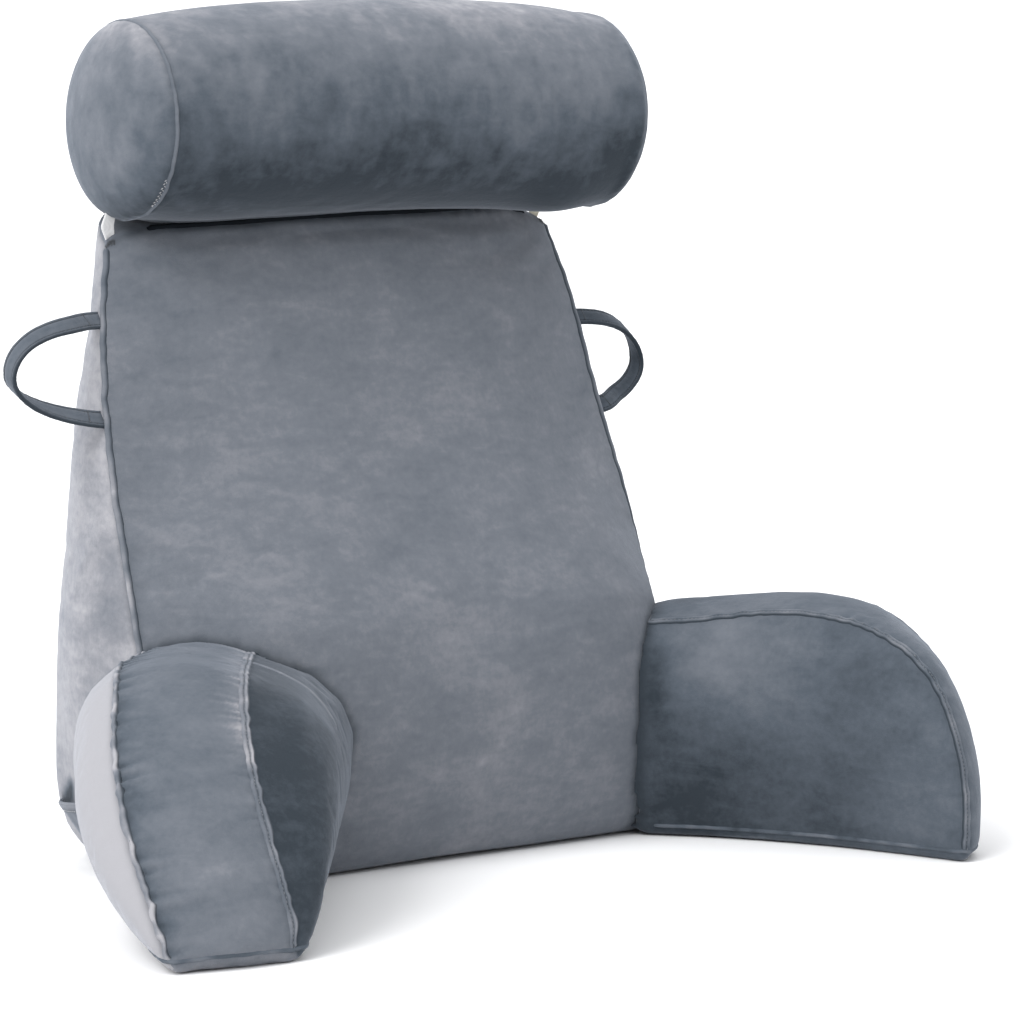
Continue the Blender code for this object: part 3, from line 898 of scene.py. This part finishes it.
armFacts = {
    **plainCover,
    "fill": 0.8,
    "inset": 1.5 * mm,
    "voxel": 4.6 * mm,
    "seamHold": 6 * mm,
    "backHold": 0.012,
    "backGap": 11 * mm,  # the cloth this near to the back is drawn up against it
    "pressure": 4.0,
    "bending": 2.0,
    "ease": 0.003,
    "frames": 14,
    "swellLimit": 5 * mm,
    "grooveDepth": 1.7 * mm,
    "grooveWidth": 4.5 * mm,
    "grooveShade": 0.85,
    "shadeReach": 4.0 * mm,
    "seed": 11,
    "rolls": ((0.11, 1.6 * mm), (0.045, 0.5 * mm), (0.020, 0.16 * mm)),
    "mottles": (((0.040, 0.040, 0.022), 0.07), ((0.014, 0.014, 0.008), 0.05)),
}
armPieces = (
    {
        "name": "arm_left",
        "seams": (
            ((-0.201, -0.108, 0.188), (-0.239, -0.155, 0.188), (-0.276, -0.202, 0.188), (-0.295, -0.227, 0.178),
             (-0.318, -0.265, 0.148), (-0.335, -0.304, 0.105), (-0.341, -0.337, 0.055), (-0.340, -0.353, 0.012)),
            ((-0.264, -0.057, 0.188), (-0.313, -0.093, 0.188), (-0.349, -0.140, 0.188), (-0.369, -0.166, 0.178),
             (-0.398, -0.207, 0.148), (-0.424, -0.257, 0.105), (-0.439, -0.306, 0.055), (-0.442, -0.336, 0.012)),
        ),
        # panel tones are partly the nap's own, partly painted light and shade: the outer panel facing the key is
        # painted light, the inner panel turned away from it painted shade
        "panels": ((0.10, 0.58), (0.58, 1.16)),
        "puckers": (
            ((1,), -1, 0.017, 0.038, 2.2, 18, 0.17),
            ((1,), 1, 0.020, 0.014, 0.4, 18, 0.0),
            ((0,), 1, 0.0095, 0.026, 1.0, 22, 0.10),
            ((0,), -1, 0.022, 0.016, 0.3, 18, 0.0),
        ),
        "crinkles": (
            {"place": (-0.262, -0.118, 0.192), "reach": 0.034, "spacing": 0.0042, "depth": 0.55 * mm,
             "way": (-0.62, -0.78, 0.0)},
        ),
        "napStrokesAndCreaseShade": (
            {"lines": (0,), "side": 1, "reach": 0.018, "spacing": 0.003, "change": 0.46, "above": 0.125},
            # dark strokes: painted shade in the creases beside the outer seam
            {"lines": (1,), "side": -1, "reach": 0.016, "spacing": 0.009, "change": -0.30, "above": 0.0},
        ),
        "paintedTopLight": -0.15,
        "napAndShadePatches": (
            ((-0.388, -0.336, 0.048), 0.050, 0.14),
            ((-0.250, -0.235, 0.167), 0.030, 0.14),
        ),
    },
    {
        "name": "arm_right",
        "seams": (
            ((0.201, -0.108, 0.177), (0.238, -0.157, 0.184), (0.267, -0.210, 0.191), (0.290, -0.273, 0.184),
             (0.300, -0.314, 0.164), (0.304, -0.343, 0.130), (0.306, -0.362, 0.083), (0.306, -0.368, 0.012)),
            ((0.260, -0.057, 0.177), (0.313, -0.104, 0.184), (0.345, -0.161, 0.191), (0.362, -0.227, 0.184),
             (0.361, -0.270, 0.164), (0.357, -0.301, 0.130), (0.354, -0.320, 0.083), (0.352, -0.327, 0.012)),
        ),
        "panels": ((0.38, 0.30), (0.55, 0.38)),
        "puckers": (
            ((1,), 1, 0.018, 0.024, 0.7, 18, 0.0),
            ((0,), -1, 0.015, 0.026, 0.9, 18, 0.08),
            ((0,), 1, 0.021, 0.014, 0.25, 18, 0.0),
        ),
        "fuller": (
            ((0.340, -0.262, 0.182), 0.055, -7.0 * mm),
            ((0.345, -0.330, 0.060), 0.050, 4.0 * mm),
            ((0.255, -0.085, 0.178), 0.050, 4.0 * mm),
        ),
        "paintedTopLight": -0.05,
        "napAndShadePatches": (
            # the next two: painted light on the upper part of the inner panel
            ((0.220, -0.165, 0.165), 0.045, 0.30),
            ((0.245, -0.205, 0.140), 0.050, 0.10),
            # the next two: painted shade low on the inner panel
            ((0.212, -0.156, 0.025), 0.070, -0.32),
            ((0.265, -0.262, 0.020), 0.055, -0.16),
            ((0.284, -0.316, 0.046), 0.040, 0.08),
            # the next four: painted shade in the crease where the arm meets the back
            ((0.187, -0.127, 0.148), 0.012, -0.20),
            ((0.185, -0.130, 0.134), 0.012, -0.20),
            ((0.183, -0.132, 0.120), 0.012, -0.20),
            ((0.182, -0.132, 0.106), 0.012, -0.20),
        ),
    },
)


def armStill(point):
    return max(nearFloor(point), nearBack(point, armFacts["backHold"]))


arms = {}
for piece in armPieces:
    facts = {**armFacts, **piece}
    lines = seamLines(piece["name"], piece["seams"], 3)
    arm = makeCover(piece["name"] + "_cover", piece["name"], facts, lines, armStill, byPanel(piece["panels"]))
    closeUp(arm, backTree, facts["backGap"])
    arms[piece["name"]] = (arm, lines)


# neck roll

rollFacts = {
    **plainCover,
    "fill": 0.9,
    "inset": 0.5 * mm,
    "voxel": 5.0 * mm,
    "seamHold": 6 * mm,
    "backHold": 0.010,
    "backGap": 6 * mm,
    "pressure": 3.0,
    "bending": 6.0,
    "ease": 0.001,
    "frames": 12,
    "swellLimit": 3 * mm,
    "grooveDepth": 1.2 * mm,
    "grooveWidth": 4.0 * mm,
    "grooveShade": 0.35,
    "shadeReach": 3.5 * mm,
    "seed": 23,
    "rolls": ((0.15, 1.2 * mm), (0.05, 0.22 * mm)),
    "puckers": (((0, 1), 1, 0.019, 0.020, 0.3, 18, 0.0), ((0, 1), -1, 0.019, 0.020, 0.3, 18, 0.0)),
    "fuller": (
        ((0.172, -0.026, 0.514), 0.034, 6.5 * mm),
        ((-0.200, 0.028, 0.509), 0.034, -3.5 * mm),
    ),
    "paintedTopLight": 0.46,
    "mottles": (((0.050, 0.050, 0.050), 0.13), ((0.016, 0.016, 0.026), 0.12), ((0.007, 0.007, 0.014), 0.08)),
    "napAndShadePatches": (
        ((-0.255, 0.020, 0.550), 0.035, 0.25),
        ((-0.110, -0.030, 0.640), 0.060, -0.10),
        ((0.200, -0.040, 0.560), 0.050, -0.08),
        # painted light on the roll's top
        ((0.120, 0.020, 0.675), 0.110, 0.10),
    ),
}
rollMiddle = sum(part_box("neck_roll"), Vector()) / 2
rollWay = Vector((1, 0, 0))
rollWay.rotate(Matrix.Rotation(math.radians(-5), 3, "Z"))
rollSeamReach = (-0.217, 0.232)  # from the middle to each end seam
rollTones = {"leftCap": 0.45, "body": 0.32, "rightCap": 0.34}


def rollStill(point):
    return nearBack(point, rollFacts["backHold"])


def rollTone(points, line, side):
    reach = (points - np.array(rollMiddle)) @ np.array(rollWay)
    tone = np.full(len(points), rollTones["body"])
    tone[reach < rollSeamReach[0]] = rollTones["leftCap"]
    tone[reach > rollSeamReach[1]] = rollTones["rightCap"]
    return tone


rollRings = [cutLine("neck_roll", rollMiddle + rollWay * reach, rollWay) for reach in rollSeamReach]
roll = makeCover("roll_cover", "neck_roll", rollFacts, rollRings, rollStill, rollTone)
closeUp(roll, backTree, rollFacts["backGap"])
rollTree = treeOf(roll)
# painted shade where the roll, the back and the arms lie against each other
paintContactShade(roll, backTree, 16 * mm, 1.0)
paintContactShade(back, rollTree, 3 * mm, 1.0)
for arm, _ in arms.values():
    paintContactShade(arm, backTree, 7 * mm, 0.8)
    paintContactShade(back, treeOf(arm), 5 * mm, 0.7)


# seam bands

# millimetres across the seam and above the cloth, then how much shade is painted there and how much lighter it
# is:
# fold line, ridge, stitched groove, flat allowance, and the underside that closes it
ridgeProfile = (
    (-4.6, -0.5, 1.0, 0.0), (-3.8, 0.0, 1.0, 0.0), (-3.0, 0.6, 0.9, 0.0), (-2.2, 1.5, 0.1, 0.14),
    (-1.1, 1.7, 0.0, 0.14), (-0.3, 1.2, 0.2, 0.05), (0.4, 0.55, 0.7, 0.0), (1.1, 0.8, 0.1, 0.05),
    (2.1, 1.0, 0.0, 0.08), (3.1, 0.8, 0.0, 0.04), (3.9, 0.1, 0.0, 0.0), (4.3, -0.6, 0.3, 0.0),
    (3.2, -1.8, 0.5, 0.0), (-2.8, -1.8, 0.5, 0.0),
)
slimProfile = (
    (-2.3, -0.5, 0.8, 0.0), (-1.8, 0.1, 0.7, 0.0), (-1.2, 0.8, 0.1, 0.08), (-0.4, 1.1, 0.0, 0.14),
    (0.5, 0.9, 0.0, 0.10), (1.3, 0.3, 0.0, 0.04), (2.0, -0.5, 0.0, 0.0), (1.2, -1.6, 0.5, 0.0),
    (-1.4, -1.6, 0.5, 0.0),
)
weltProfile = (
    (-4.2, -0.6, 1.0, 0.0), (-3.4, 0.0, 1.0, 0.0), (-2.7, 0.8, 0.5, 0.0), (-1.7, 1.6, 0.0, 0.14),
    (-0.3, 2.0, 0.0, 0.18), (1.1, 1.7, 0.0, 0.12), (2.2, 0.9, 0.4, 0.0), (3.0, 0.1, 1.0, 0.0),
    (3.8, -0.6, 1.0, 0.0), (3.0, -1.8, 0.5, 0.0), (-3.2, -1.8, 0.5, 0.0),
)
ropeProfile = (
    (-3.4, -0.5, 1.0, 0.0), (-2.8, 0.0, 1.0, 0.0), (-2.0, 0.6, 0.8, 0.0), (-1.1, 1.4, 0.1, 0.06),
    (-0.1, 1.6, 0.0, 0.10), (0.9, 1.2, 0.0, 0.04), (1.9, 0.5, 0.0, 0.0), (2.7, -0.4, 0.0, 0.0),
    (1.8, -1.7, 0.5, 0.0), (-2.4, -1.7, 0.5, 0.0),
)
# a near-black bead on the top front seam: painted shadow in the gap under the roll
shadowBandProfile = (
    (-2.6, -0.8, 1.0, 0.0), (-2.2, 0.6, 1.0, 0.0), (-1.4, 1.9, 1.0, 0.0), (0.0, 2.5, 1.0, 0.0),
    (1.4, 1.9, 1.0, 0.0), (2.2, 0.6, 1.0, 0.0), (2.6, -0.8, 1.0, 0.0), (0.0, -1.6, 1.0, 0.0),
)
bandFacts = {
    "step": 1.6 * mm,
    "seed": 31,
    "side": 1,
    "wander": 0.4 * mm,
    "scallop": 0.30,
    "scallopStep": 0.008,
    "tone": 0.45,
    "patchy": 0.0,
    "higher": (1.0, 0.0),  # from which height on the tone changes, and by how much
    "profile": ridgeProfile,
}
calmBand = {**bandFacts, "wander": 0.15 * mm, "scallop": 0.10}
slimBand = {**calmBand, "profile": slimProfile}
welt = {**calmBand, "profile": weltProfile}
threadFacts = {
    "pitch": 3.4 * mm,
    "length": 2.3 * mm,
    "thick": 0.6 * mm,
    "sideways": 0.4 * mm,  # from the seam
    "lift": 0.75 * mm,
}
thread = makeThread("thread", (0.16, 0.175, 0.20, 1.0))
darkThread = makeThread("dark_thread", (0.060, 0.066, 0.076, 1.0))
paleThread = makeThread("pale_thread", (0.62, 0.62, 0.64, 1.0))

leftArm, leftLines = arms["arm_left"]
rightArm, rightLines = arms["arm_right"]
leftTree, rightTree = treeOf(leftArm), treeOf(rightArm)


def outside(tree, point, gap):
    spot, normal, _, _ = tree.find_nearest(Vector(point))
    return (Vector(point) - spot).dot(normal) > gap


def clearOfArms(line):
    return [p for p in line if all(outside(tree, p, -1 * mm) for tree in (leftTree, rightTree))]


def underRoll(line):
    # the top front seam, pressed back under the roll, without the cushion's round corners
    return [p + Vector((0, 2, 3)) * mm for p in line if -0.188 < p.x < 0.200]


def footLine(node, height):
    # the lower seam of an arm, where it is clear of the back
    line = cutLine(node, Vector((0, 0, height)), Vector((0, 0, 1)))
    return longestRun(line, lambda p: outside(backTree, p, 7 * mm))


# where the top of the left arm's inner panel is sewn to the back
armRoot = ((-0.232, -0.147, 0.188), (-0.223, -0.161, 0.180), (-0.214, -0.181, 0.171), (-0.206, -0.195, 0.162),
           (-0.199, -0.206, 0.151), (-0.197, -0.216, 0.138))
armRoot = evenly(armRoot, lineStep, 8)
leftFoot = footLine("arm_left", 0.010)[12:-12]
rightFoot = footLine("arm_right", 0.009)[2:-8]
# name, cover, line, the band that it starts from and what is its own
bandPlaces = (
    ("front_left", back, clearOfArms(backLines[0]), welt,
     {"tone": 0.62, "patchy": 0.24, "higher": (0.31, -0.20)}),
    ("front_right", back, clearOfArms(backLines[1]), welt, {"side": -1, "tone": 0.46, "patchy": 0.10}),
    # the top front seam's band, painted as shadow
    ("top_front", back, underRoll(backLines[2]), calmBand, {"tone": 0.0, "profile": shadowBandProfile}),
    ("rear_left", back, backLines[3], slimBand, {"tone": 0.55}),
    ("rear_right", back, backLines[4], slimBand, {"tone": 0.50}),
    ("top_rear", back, backLines[5], slimBand, {}),
    ("top_left", back, backLines[6], slimBand, {}),
    ("top_right", back, backLines[7], slimBand, {}),
    ("arm_left_inner", leftArm, leftLines[0], bandFacts,
     {"tone": 0.52, "patchy": 0.25, "higher": (0.10, 0.20)}),
    ("arm_left_outer", leftArm, leftLines[1], bandFacts,
     {"tone": 0.76, "scallop": 0.50, "patchy": 0.40, "profile": ropeProfile}),
    ("arm_right_inner", rightArm, rightLines[0], calmBand, {"side": -1, "tone": 0.40, "patchy": 0.30}),
    ("arm_right_outer", rightArm, rightLines[1], bandFacts, {}),
    ("arm_left_root", leftArm, armRoot, slimBand, {"tone": 0.58}),
    ("arm_left_foot", leftArm, leftFoot, slimBand, {"tone": 0.28, "patchy": 0.3}),
    ("arm_right_foot", rightArm, rightFoot, slimBand, {"tone": 0.24, "patchy": 0.3}),
    ("roll_left", roll, rollRings[0], slimBand, {"tone": 0.46}),
    ("roll_right", roll, rollRings[1], slimBand, {"tone": 0.36}),
)
spots = []
for name, cover, line, base, own in bandPlaces:
    facts = {**base, **own}
    # a band in painted shadow takes the near-black cloth
    pressed = facts["profile"] is shadowBandProfile
    band = seamBand("seam_" + name, cover, line, facts, closed=cover is roll)
    finishPiece(band, paintedShadowVelvet if pressed else upholstery, "upholstery")
    if not pressed and facts["profile"] is not slimProfile:
        across = {"sideways": facts["side"] * threadFacts["sideways"]}
        spots += bandSpots(cover, line, {**threadFacts, **across})
stitchItem("seam_stitches", spots, threadFacts, thread, "upholstery")
print("seam bands done")


# handle loops

handleFacts = {
    "rootX": 0.226,
    "rootY": 0.030,
    "tipY": 0.047,
    "flare": 0.009,
    "bulge": 0.10,
    "straightness": 0.58,  # the lower half runs straighter to its end than an arc
    "width": 16.0 * mm,
    "thick": 4.4 * mm,
    "twist": math.radians(50),
    "steps": 130,
    "tuck": 9.0 * mm,  # how far behind the seam line each end goes in
    "inside": 9.0 * mm,  # how far past the seam each end runs on
    "bend": 0.030,  # the way over which it bends in behind the seam
    "stitchPitch": 3.0 * mm,
    "rowPlace": 0.33,  # of its width, from the middle to each row of stitches
    "endRows": (6, -8),  # the steps with a short row across
}
strapThread = {"length": 2.1 * mm, "thick": 0.55 * mm}
handlePieces = (
    {"name": "handle_left", "side": -1, "topZ": 0.431, "lowZ": 0.355, "reach": 0.088, "tone": 0.34},
    {"name": "handle_right", "side": 1, "topZ": 0.411, "lowZ": 0.337, "reach": 0.080, "tone": 0.20},
)
# shares of half the strap's width and thickness, then its painted shade and how much lighter it is, from its
# edge to its middle
strapQuarter = (
    (-1.0, 0.0, 1.0, 0.0), (-0.97, 0.50, 0.9, 0.0), (-0.88, 0.86, 0.5, 0.0), (-0.76, 0.95, 0.0, 0.08),
    (-0.66, 0.70, 0.8, 0.0), (-0.56, 0.92, 0.0, 0.08), (-0.30, 1.04, 0.0, 0.04), (0.0, 1.08, 0.0, 0.0),
)
strapFace = strapQuarter + tuple((-w, *rest) for w, *rest in reversed(strapQuarter[:-1]))
strapProfile = strapFace + tuple((w, -t, dark, light) for w, t, dark, light in reversed(strapFace[1:-1]))


def handlePoint(facts, t):
    # middle of the strap, from its upper end to its lower end
    angle = math.pi * (0.5 - t)
    away = max(math.cos(angle), 0.0) ** 0.8
    middleZ = 0.5 * (facts["topZ"] + facts["lowZ"])
    halfZ = 0.5 * (facts["topZ"] - facts["lowZ"])
    x = facts["rootX"] + facts["reach"] * away + facts["flare"] * t
    outY = facts["tipY"] - facts["rootY"]
    y = facts["rootY"] + outY * away - facts["flare"] * t
    rise = math.sin(angle) * (1 + facts["bulge"] * math.cos(angle))
    if angle < 0:
        rise += (2 * angle / math.pi - rise) * facts["straightness"]
    return Vector((facts["side"] * x, y, middleZ + halfZ * rise))


def tuckedPoint(facts, t):
    # near the seam that holds it, the strap bends back to go in behind that seam
    point = handlePoint(facts, t)
    seam = min(backLines[0 if facts["side"] < 0 else 1], key=lambda spot: abs(spot.z - point.z))
    beyond = abs(point.x) - abs(seam.x)
    share = float(smoothStep(1 - beyond / facts["bend"]))
    point.y += (seam.y + facts["tuck"] - point.y) * share
    return point, beyond


def makeHandle(facts):
    # the strap starts and ends inside the cover
    steps = [k / 400 for k in range(401)]
    shown = [t for t in steps if tuckedPoint(facts, t)[1] > -facts["inside"]]
    first, last = shown[0], shown[-1]
    width, depth = facts["width"], facts["thick"]
    rows = []
    places = []
    for k in range(facts["steps"] + 1):
        t = first + (last - first) * k / facts["steps"]
        before, point, after = (tuckedPoint(facts, u)[0] for u in (max(t - 0.01, 0.0), t, min(t + 0.01, 1.0)))
        along = (after - before).normalized()
        wideWay = (Vector((0, 1, 0)) - along * along.y).normalized()
        thickWay = along.cross(wideWay)
        twist = facts["twist"] * math.cos(math.pi * t) * facts["side"]
        wide = wideWay * math.cos(twist) + thickWay * math.sin(twist)
        thick = thickWay * math.cos(twist) - wideWay * math.sin(twist)
        ripple = 1 + 0.10 * noise.noise((k * 0.21, facts["side"], 3.0))
        squeeze = 1 - 0.05 * math.sin(math.pi * t) + 0.03 * noise.noise((k * 0.09, facts["side"], 7.0))
        row = []
        for w, h, _, _ in strapProfile:
            dimple = 1 + 0.14 * noise.noise((k * 0.5, w * 2.2, h + facts["side"]))
            out = wide * (w * 0.5 * width * squeeze) + thick * (h * 0.5 * depth * ripple * dimple)
            row.append(point + out)
        rows.append(row + row[:1])
        places.append((point, along, wide, thick))
    profile = strapProfile + strapProfile[:1]
    marks = {
        "tone": [facts["tone"] + light for *_, light in profile],
        "paintedShade": [dark for *_, dark, _ in profile],
    }
    strap = laidGrid(facts["name"] + "_strap", rows, marks)
    finishPiece(strap, upholstery, "strap", facts["name"])
    length = sum((b[0] - a[0]).length for a, b in zip(places, places[1:]))
    every = max(1, round(facts["stitchPitch"] / (length / facts["steps"])))
    spots = []
    for point, along, wide, thick in places[2:-2:every]:
        for edge in (-1, 1):
            for face in (-1, 1):
                foot = point + wide * (edge * facts["rowPlace"] * width) + thick * (face * 0.40 * depth)
                spots.append((foot, along))
    for end in facts["endRows"]:
        point, along, wide, thick = places[end]
        for k in range(-4, 5):
            for face in (-1, 1):
                foot = point + wide * (k * 0.085 * width) + thick * (face * 0.53 * depth)
                spots.append((foot, (wide + along * 0.5).normalized()))
    stitchItem(facts["name"] + "_stitches", spots, strapThread, darkThread, "strap")


for piece in handlePieces:
    makeHandle({**handleFacts, **piece})
print("handles done")


# elastic tabs

tabFacts = {
    "width": 13.0 * mm,
    "thick": 1.7 * mm,
    "ribs": 9,
    "ribDepth": 0.12 * mm,
    "bow": 0.9 * mm,
    "below": 6.0 * mm,  # how far it runs on into the back cushion
    "inwards": 3.0 * mm,  # both ends lean to the middle, and are gathered
    "reach": 0.018,  # from its lower end to the roll
    "outwards": 3.0 * mm,  # how far out from the solid's middle it sits
    "steps": 22,
}
tabPieces = (
    {
        "name": "roll_tab_left",
        "side": -1,
        "above": 4.0 * mm,  # how far it runs on into the roll
        "color": (0.86, 0.86, 0.86, 1.0),
        "shadow": (0.52, 0.52, 0.53, 1.0),
    },
    {
        "name": "roll_tab_right",
        "side": 1,
        "above": 6.0 * mm,
        "color": (0.72, 0.68, 0.56, 1.0),
        "shadow": (0.44, 0.41, 0.33, 1.0),
    },
)
# the dense zigzag that holds each tab on the back, in rows below it
bartackFacts = {
    "rows": 4,
    "beads": 8,
    "rowStep": 1.5,
    "beadStep": 1.3,
    "top": 3.0,
    "outwards": 2.5,
    "length": 2.0 * mm,
    "thick": 0.6 * mm,
}


def makeTab(facts):
    low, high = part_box(facts["name"])
    side = facts["side"]
    middleX = 0.5 * (low.x + high.x) + side * facts["outwards"]
    frontY = low.y + 0.5 * facts["thick"]
    bottom = low.z - facts["below"]
    top = min(high.z, low.z + facts["reach"]) + facts["above"]
    columns = 4 * facts["ribs"]
    rows = []
    for k in range(facts["steps"] + 1):
        t = k / facts["steps"]
        z = bottom + (top - bottom) * t
        bow = -facts["bow"] * math.sin(math.pi * t)
        lower = 1 - float(smoothStep(t / 0.5))
        upper = float(smoothStep((t - 0.45) / 0.5))
        narrow = (1 - 0.10 * math.sin(math.pi * t) ** 2) * (1 - 0.36 * lower - 0.26 * upper)
        centreX = middleX - side * facts["inwards"] * (lower + 1.2 * upper)
        front = []
        rear = []
        for i in range(columns + 1):
            u = i / columns
            rib = facts["ribDepth"] * math.cos(2 * math.pi * facts["ribs"] * u)
            half = 0.5 * facts["thick"] * min(1.0, 0.35 + 9 * u * (1 - u))
            x = centreX + (u - 0.5) * facts["width"] * narrow
            front.append(Vector((x, frontY + bow - half - rib, z)))
            rear.append(Vector((x, frontY + bow + half + rib, z)))
        row = front + rear[::-1]
        rows.append(row + row[:1])
    tab = laidGrid(facts["name"] + "_band", rows, {"tone": [0.5] * len(rows[0])})
    finishPiece(tab, makeElastic(facts["name"], facts["color"], facts["shadow"]), "elastic", facts["name"])
    tack = bartackFacts
    spots = []
    for row in range(tack["rows"]):
        for k in range(tack["beads"]):
            turn = 1 if k % 2 else -1
            x = middleX + ((k - 3.5) * tack["beadStep"] + side * tack["outwards"]) * mm
            z = low.z - (tack["top"] + row * tack["rowStep"] + 0.5 * turn) * mm
            foot, out, _, _ = backTree.find_nearest(Vector((x, low.y - 6 * mm, z)))
            spots.append((foot + out * 0.4 * mm, Vector((1, 0, 0.9 * turn))))
    stitchItem(facts["name"] + "_bartack", spots, tack, darkThread, "elastic")


for piece in tabPieces:
    makeTab({**tabFacts, **piece})

# the small pale zigzag that closes the roll's left cap, low on its seam
capFacts = {"turns": 16, "step": 2.2 * mm, "length": 2.6 * mm, "thick": 0.6 * mm}
ring = evenly(rollRings[0], capFacts["step"], 0)[:-1]
lowest = min(range(len(ring)), key=lambda i: ring[i].z + 0.9 * ring[i].y)
ring = ring[lowest:] + ring[:lowest]
spots = []
for k in range(capFacts["turns"]):
    here, after = (ring[(k + i - capFacts["turns"] // 2) % len(ring)] for i in (0, 1))
    foot, normal, _, _ = rollTree.find_nearest(here - rollWay * ((1.6 if k % 2 else 3.4) * mm))
    way = (after - here).normalized() + rollWay * (0.9 if k % 2 else -0.9)
    spots.append((foot + normal * 0.3 * mm, way.normalized()))
stitchItem("roll_cap_stitches", spots, capFacts, paleThread, "upholstery")
print("tabs done")


# side pocket

pocketFacts = {
    "mouthZ": 0.060,
    "footZ": 0.013,
    "frontY": 0.008,
    "rearY": 0.088,  # at the mouth
    "slope": 0.009,  # how much lower the mouth's rear end is sewn
    "footRearY": 0.046,
    "gape": 14.0 * mm,
    "thick": 1.8 * mm,
    "hemThick": 2.9 * mm,
    "hemDepth": 8.5 * mm,
    "hemSeam": 6.8 * mm,  # how far below its edge the hem is stitched down
    "hemRow": 4,  # the row of points that the hem's stitches follow
    "across": 44,
    "down": 26,
    "tone": 0.54,
    "hemLight": 0.18,
}


def makePocket(facts):
    rows = []
    hemLine = []
    for i in range(facts["across"] + 1):
        across = i / facts["across"]
        outer = []
        inner = []
        for j in range(facts["down"] + 1):
            down = j / facts["down"]
            mouthZ = facts["mouthZ"] - facts["slope"] * across
            z = mouthZ + (facts["footZ"] - mouthZ) * down
            rearY = facts["rearY"] + (facts["footRearY"] - facts["rearY"]) * down
            y = facts["frontY"] + (rearY - facts["frontY"]) * across
            spot, normal, _, _ = backTree.ray_cast(Vector((-1, y, z)), Vector((1, 0, 0)))
            gape = facts["gape"] * math.sin(math.pi * across) ** 0.8 * (1 - down) ** 0.9
            ripple = 0.5 * mm * noise.noise((across * 7, down * 3, 2.0)) * math.sin(math.pi * across)
            foot = spot + Vector((-1, 0, 0)) * (gape + ripple) + normal * 0.4 * mm
            thickWay = (normal + Vector((-1, 0, 0))).normalized()
            below = mouthZ - z
            thick = facts["thick"]
            if below < facts["hemDepth"]:
                full = min(below / (1.5 * mm), (facts["hemDepth"] - below) / (1.2 * mm), 1.0)
                thick += (facts["hemThick"] - facts["thick"]) * max(full, 0.0)
                if abs(below - facts["hemSeam"]) < 1.0 * mm:
                    thick -= 0.5 * mm
            edge = min(across, 1 - across, 1 - down) * 14
            thick *= min(1.0, 0.55 + edge)
            if j == 0:
                thick *= 0.6
            inner.append(foot)
            outer.append(foot + thickWay * thick)
        row = outer + inner[::-1]
        rows.append(row + row[:1])
        hemLine.append(outer[facts["hemRow"]] + Vector((-0.25 * mm, 0, 0)))
    count = facts["down"] + 1
    light = [facts["tone"] + (facts["hemLight"] if j < facts["hemRow"] else 0.0) for j in range(count)]
    # painted shade in the hem's stitched groove and on the pocket's inner face
    dark = [0.35 if j in (3, 4) else 0.0 for j in range(count)]
    tone = light + [0.2] * count
    paintedShade = dark + [0.3] * count
    marks = {"tone": tone + tone[:1], "paintedShade": paintedShade + paintedShade[:1]}
    pocket = laidGrid("side_pocket_cloth", rows, marks)
    finishPiece(pocket, upholstery, "upholstery", "side_pocket")
    line = evenly(hemLine, 3.2 * mm, 0)
    spots = [(b, (c - a).normalized()) for a, b, c in zip(line, line[1:], line[2:])]
    return pocket, stitchItem("side_pocket_stitches", spots, threadFacts, paleThread, "upholstery")


pocket, pocketHem = makePocket(pocketFacts)
# painted shade on the back around the pocket
paintContactShade(back, treeOf(pocket), 4 * mm, 1.0)
print("pocket done")


# floor, light and camera

def makeFloor():
    bm = bmesh.new()
    bmesh.ops.create_grid(bm, x_segments=1, y_segments=1, size=60.0)
    floor = meshItem("floor", bm)
    material, shader = newMaterial("floor_paint")
    setConstants(shader, {"Base Color": (0.93, 0.93, 0.93, 1.0), "Roughness": 0.9, "Specular IOR Level": 0.1})
    floor.data.materials.append(material)


studio = {
    "keyWay": (-0.70, -0.12, 0.70),  # towards the key light
    "keyPower": 1.7,
    "keySpread": math.radians(32),
    "domePower": 1.25,
}


def makeLights():
    key = bpy.data.lights.new("key", "SUN")
    key.energy = studio["keyPower"]
    key.angle = studio["keySpread"]
    lamp = bpy.data.objects.new("key", key)
    lamp.rotation_mode = "QUATERNION"
    lamp.rotation_quaternion = Vector(studio["keyWay"]).to_track_quat("Z", "Y")
    scene.collection.objects.link(lamp)
    world = bpy.data.worlds.new("studio")
    world.use_nodes = True
    scene.world = world
    dome = Wire(world.node_tree)
    way = dome.node("ShaderNodeTexCoord", {}, {}, 0)
    split = dome.node("ShaderNodeSeparateXYZ", {}, {"Vector": way})
    right, ahead, up = (Wire(world.node_tree, output) for output in split.socket.node.outputs)
    power = (0.40 - 0.20 * right + 0.05 * ahead + 0.95 * up) * studio["domePower"]
    background = world.node_tree.nodes["Background"]
    setConstants(background, {"Color": (0.98, 0.985, 1.0, 1.0)})
    power.into(background, "Strength")


cameraFacts = {
    "place": (-2.5984, -3.3912, 0.76),
    "ahead": (0.6241, 0.7729, -0.1143),
    "lens": 188.85,
    "sensor": 36.0,
}


def makeCamera():
    data = bpy.data.cameras.new("camera")
    data.lens = cameraFacts["lens"]
    data.sensor_width = cameraFacts["sensor"]
    data.clip_end = 200.0
    camera = bpy.data.objects.new("camera", data)
    camera.location = cameraFacts["place"]
    camera.rotation_mode = "QUATERNION"
    camera.rotation_quaternion = Vector(cameraFacts["ahead"]).to_track_quat("-Z", "Y")
    scene.collection.objects.link(camera)
    scene.camera = camera


makeFloor()
makeLights()
makeCamera()
scene.view_settings.view_transform = "Standard"
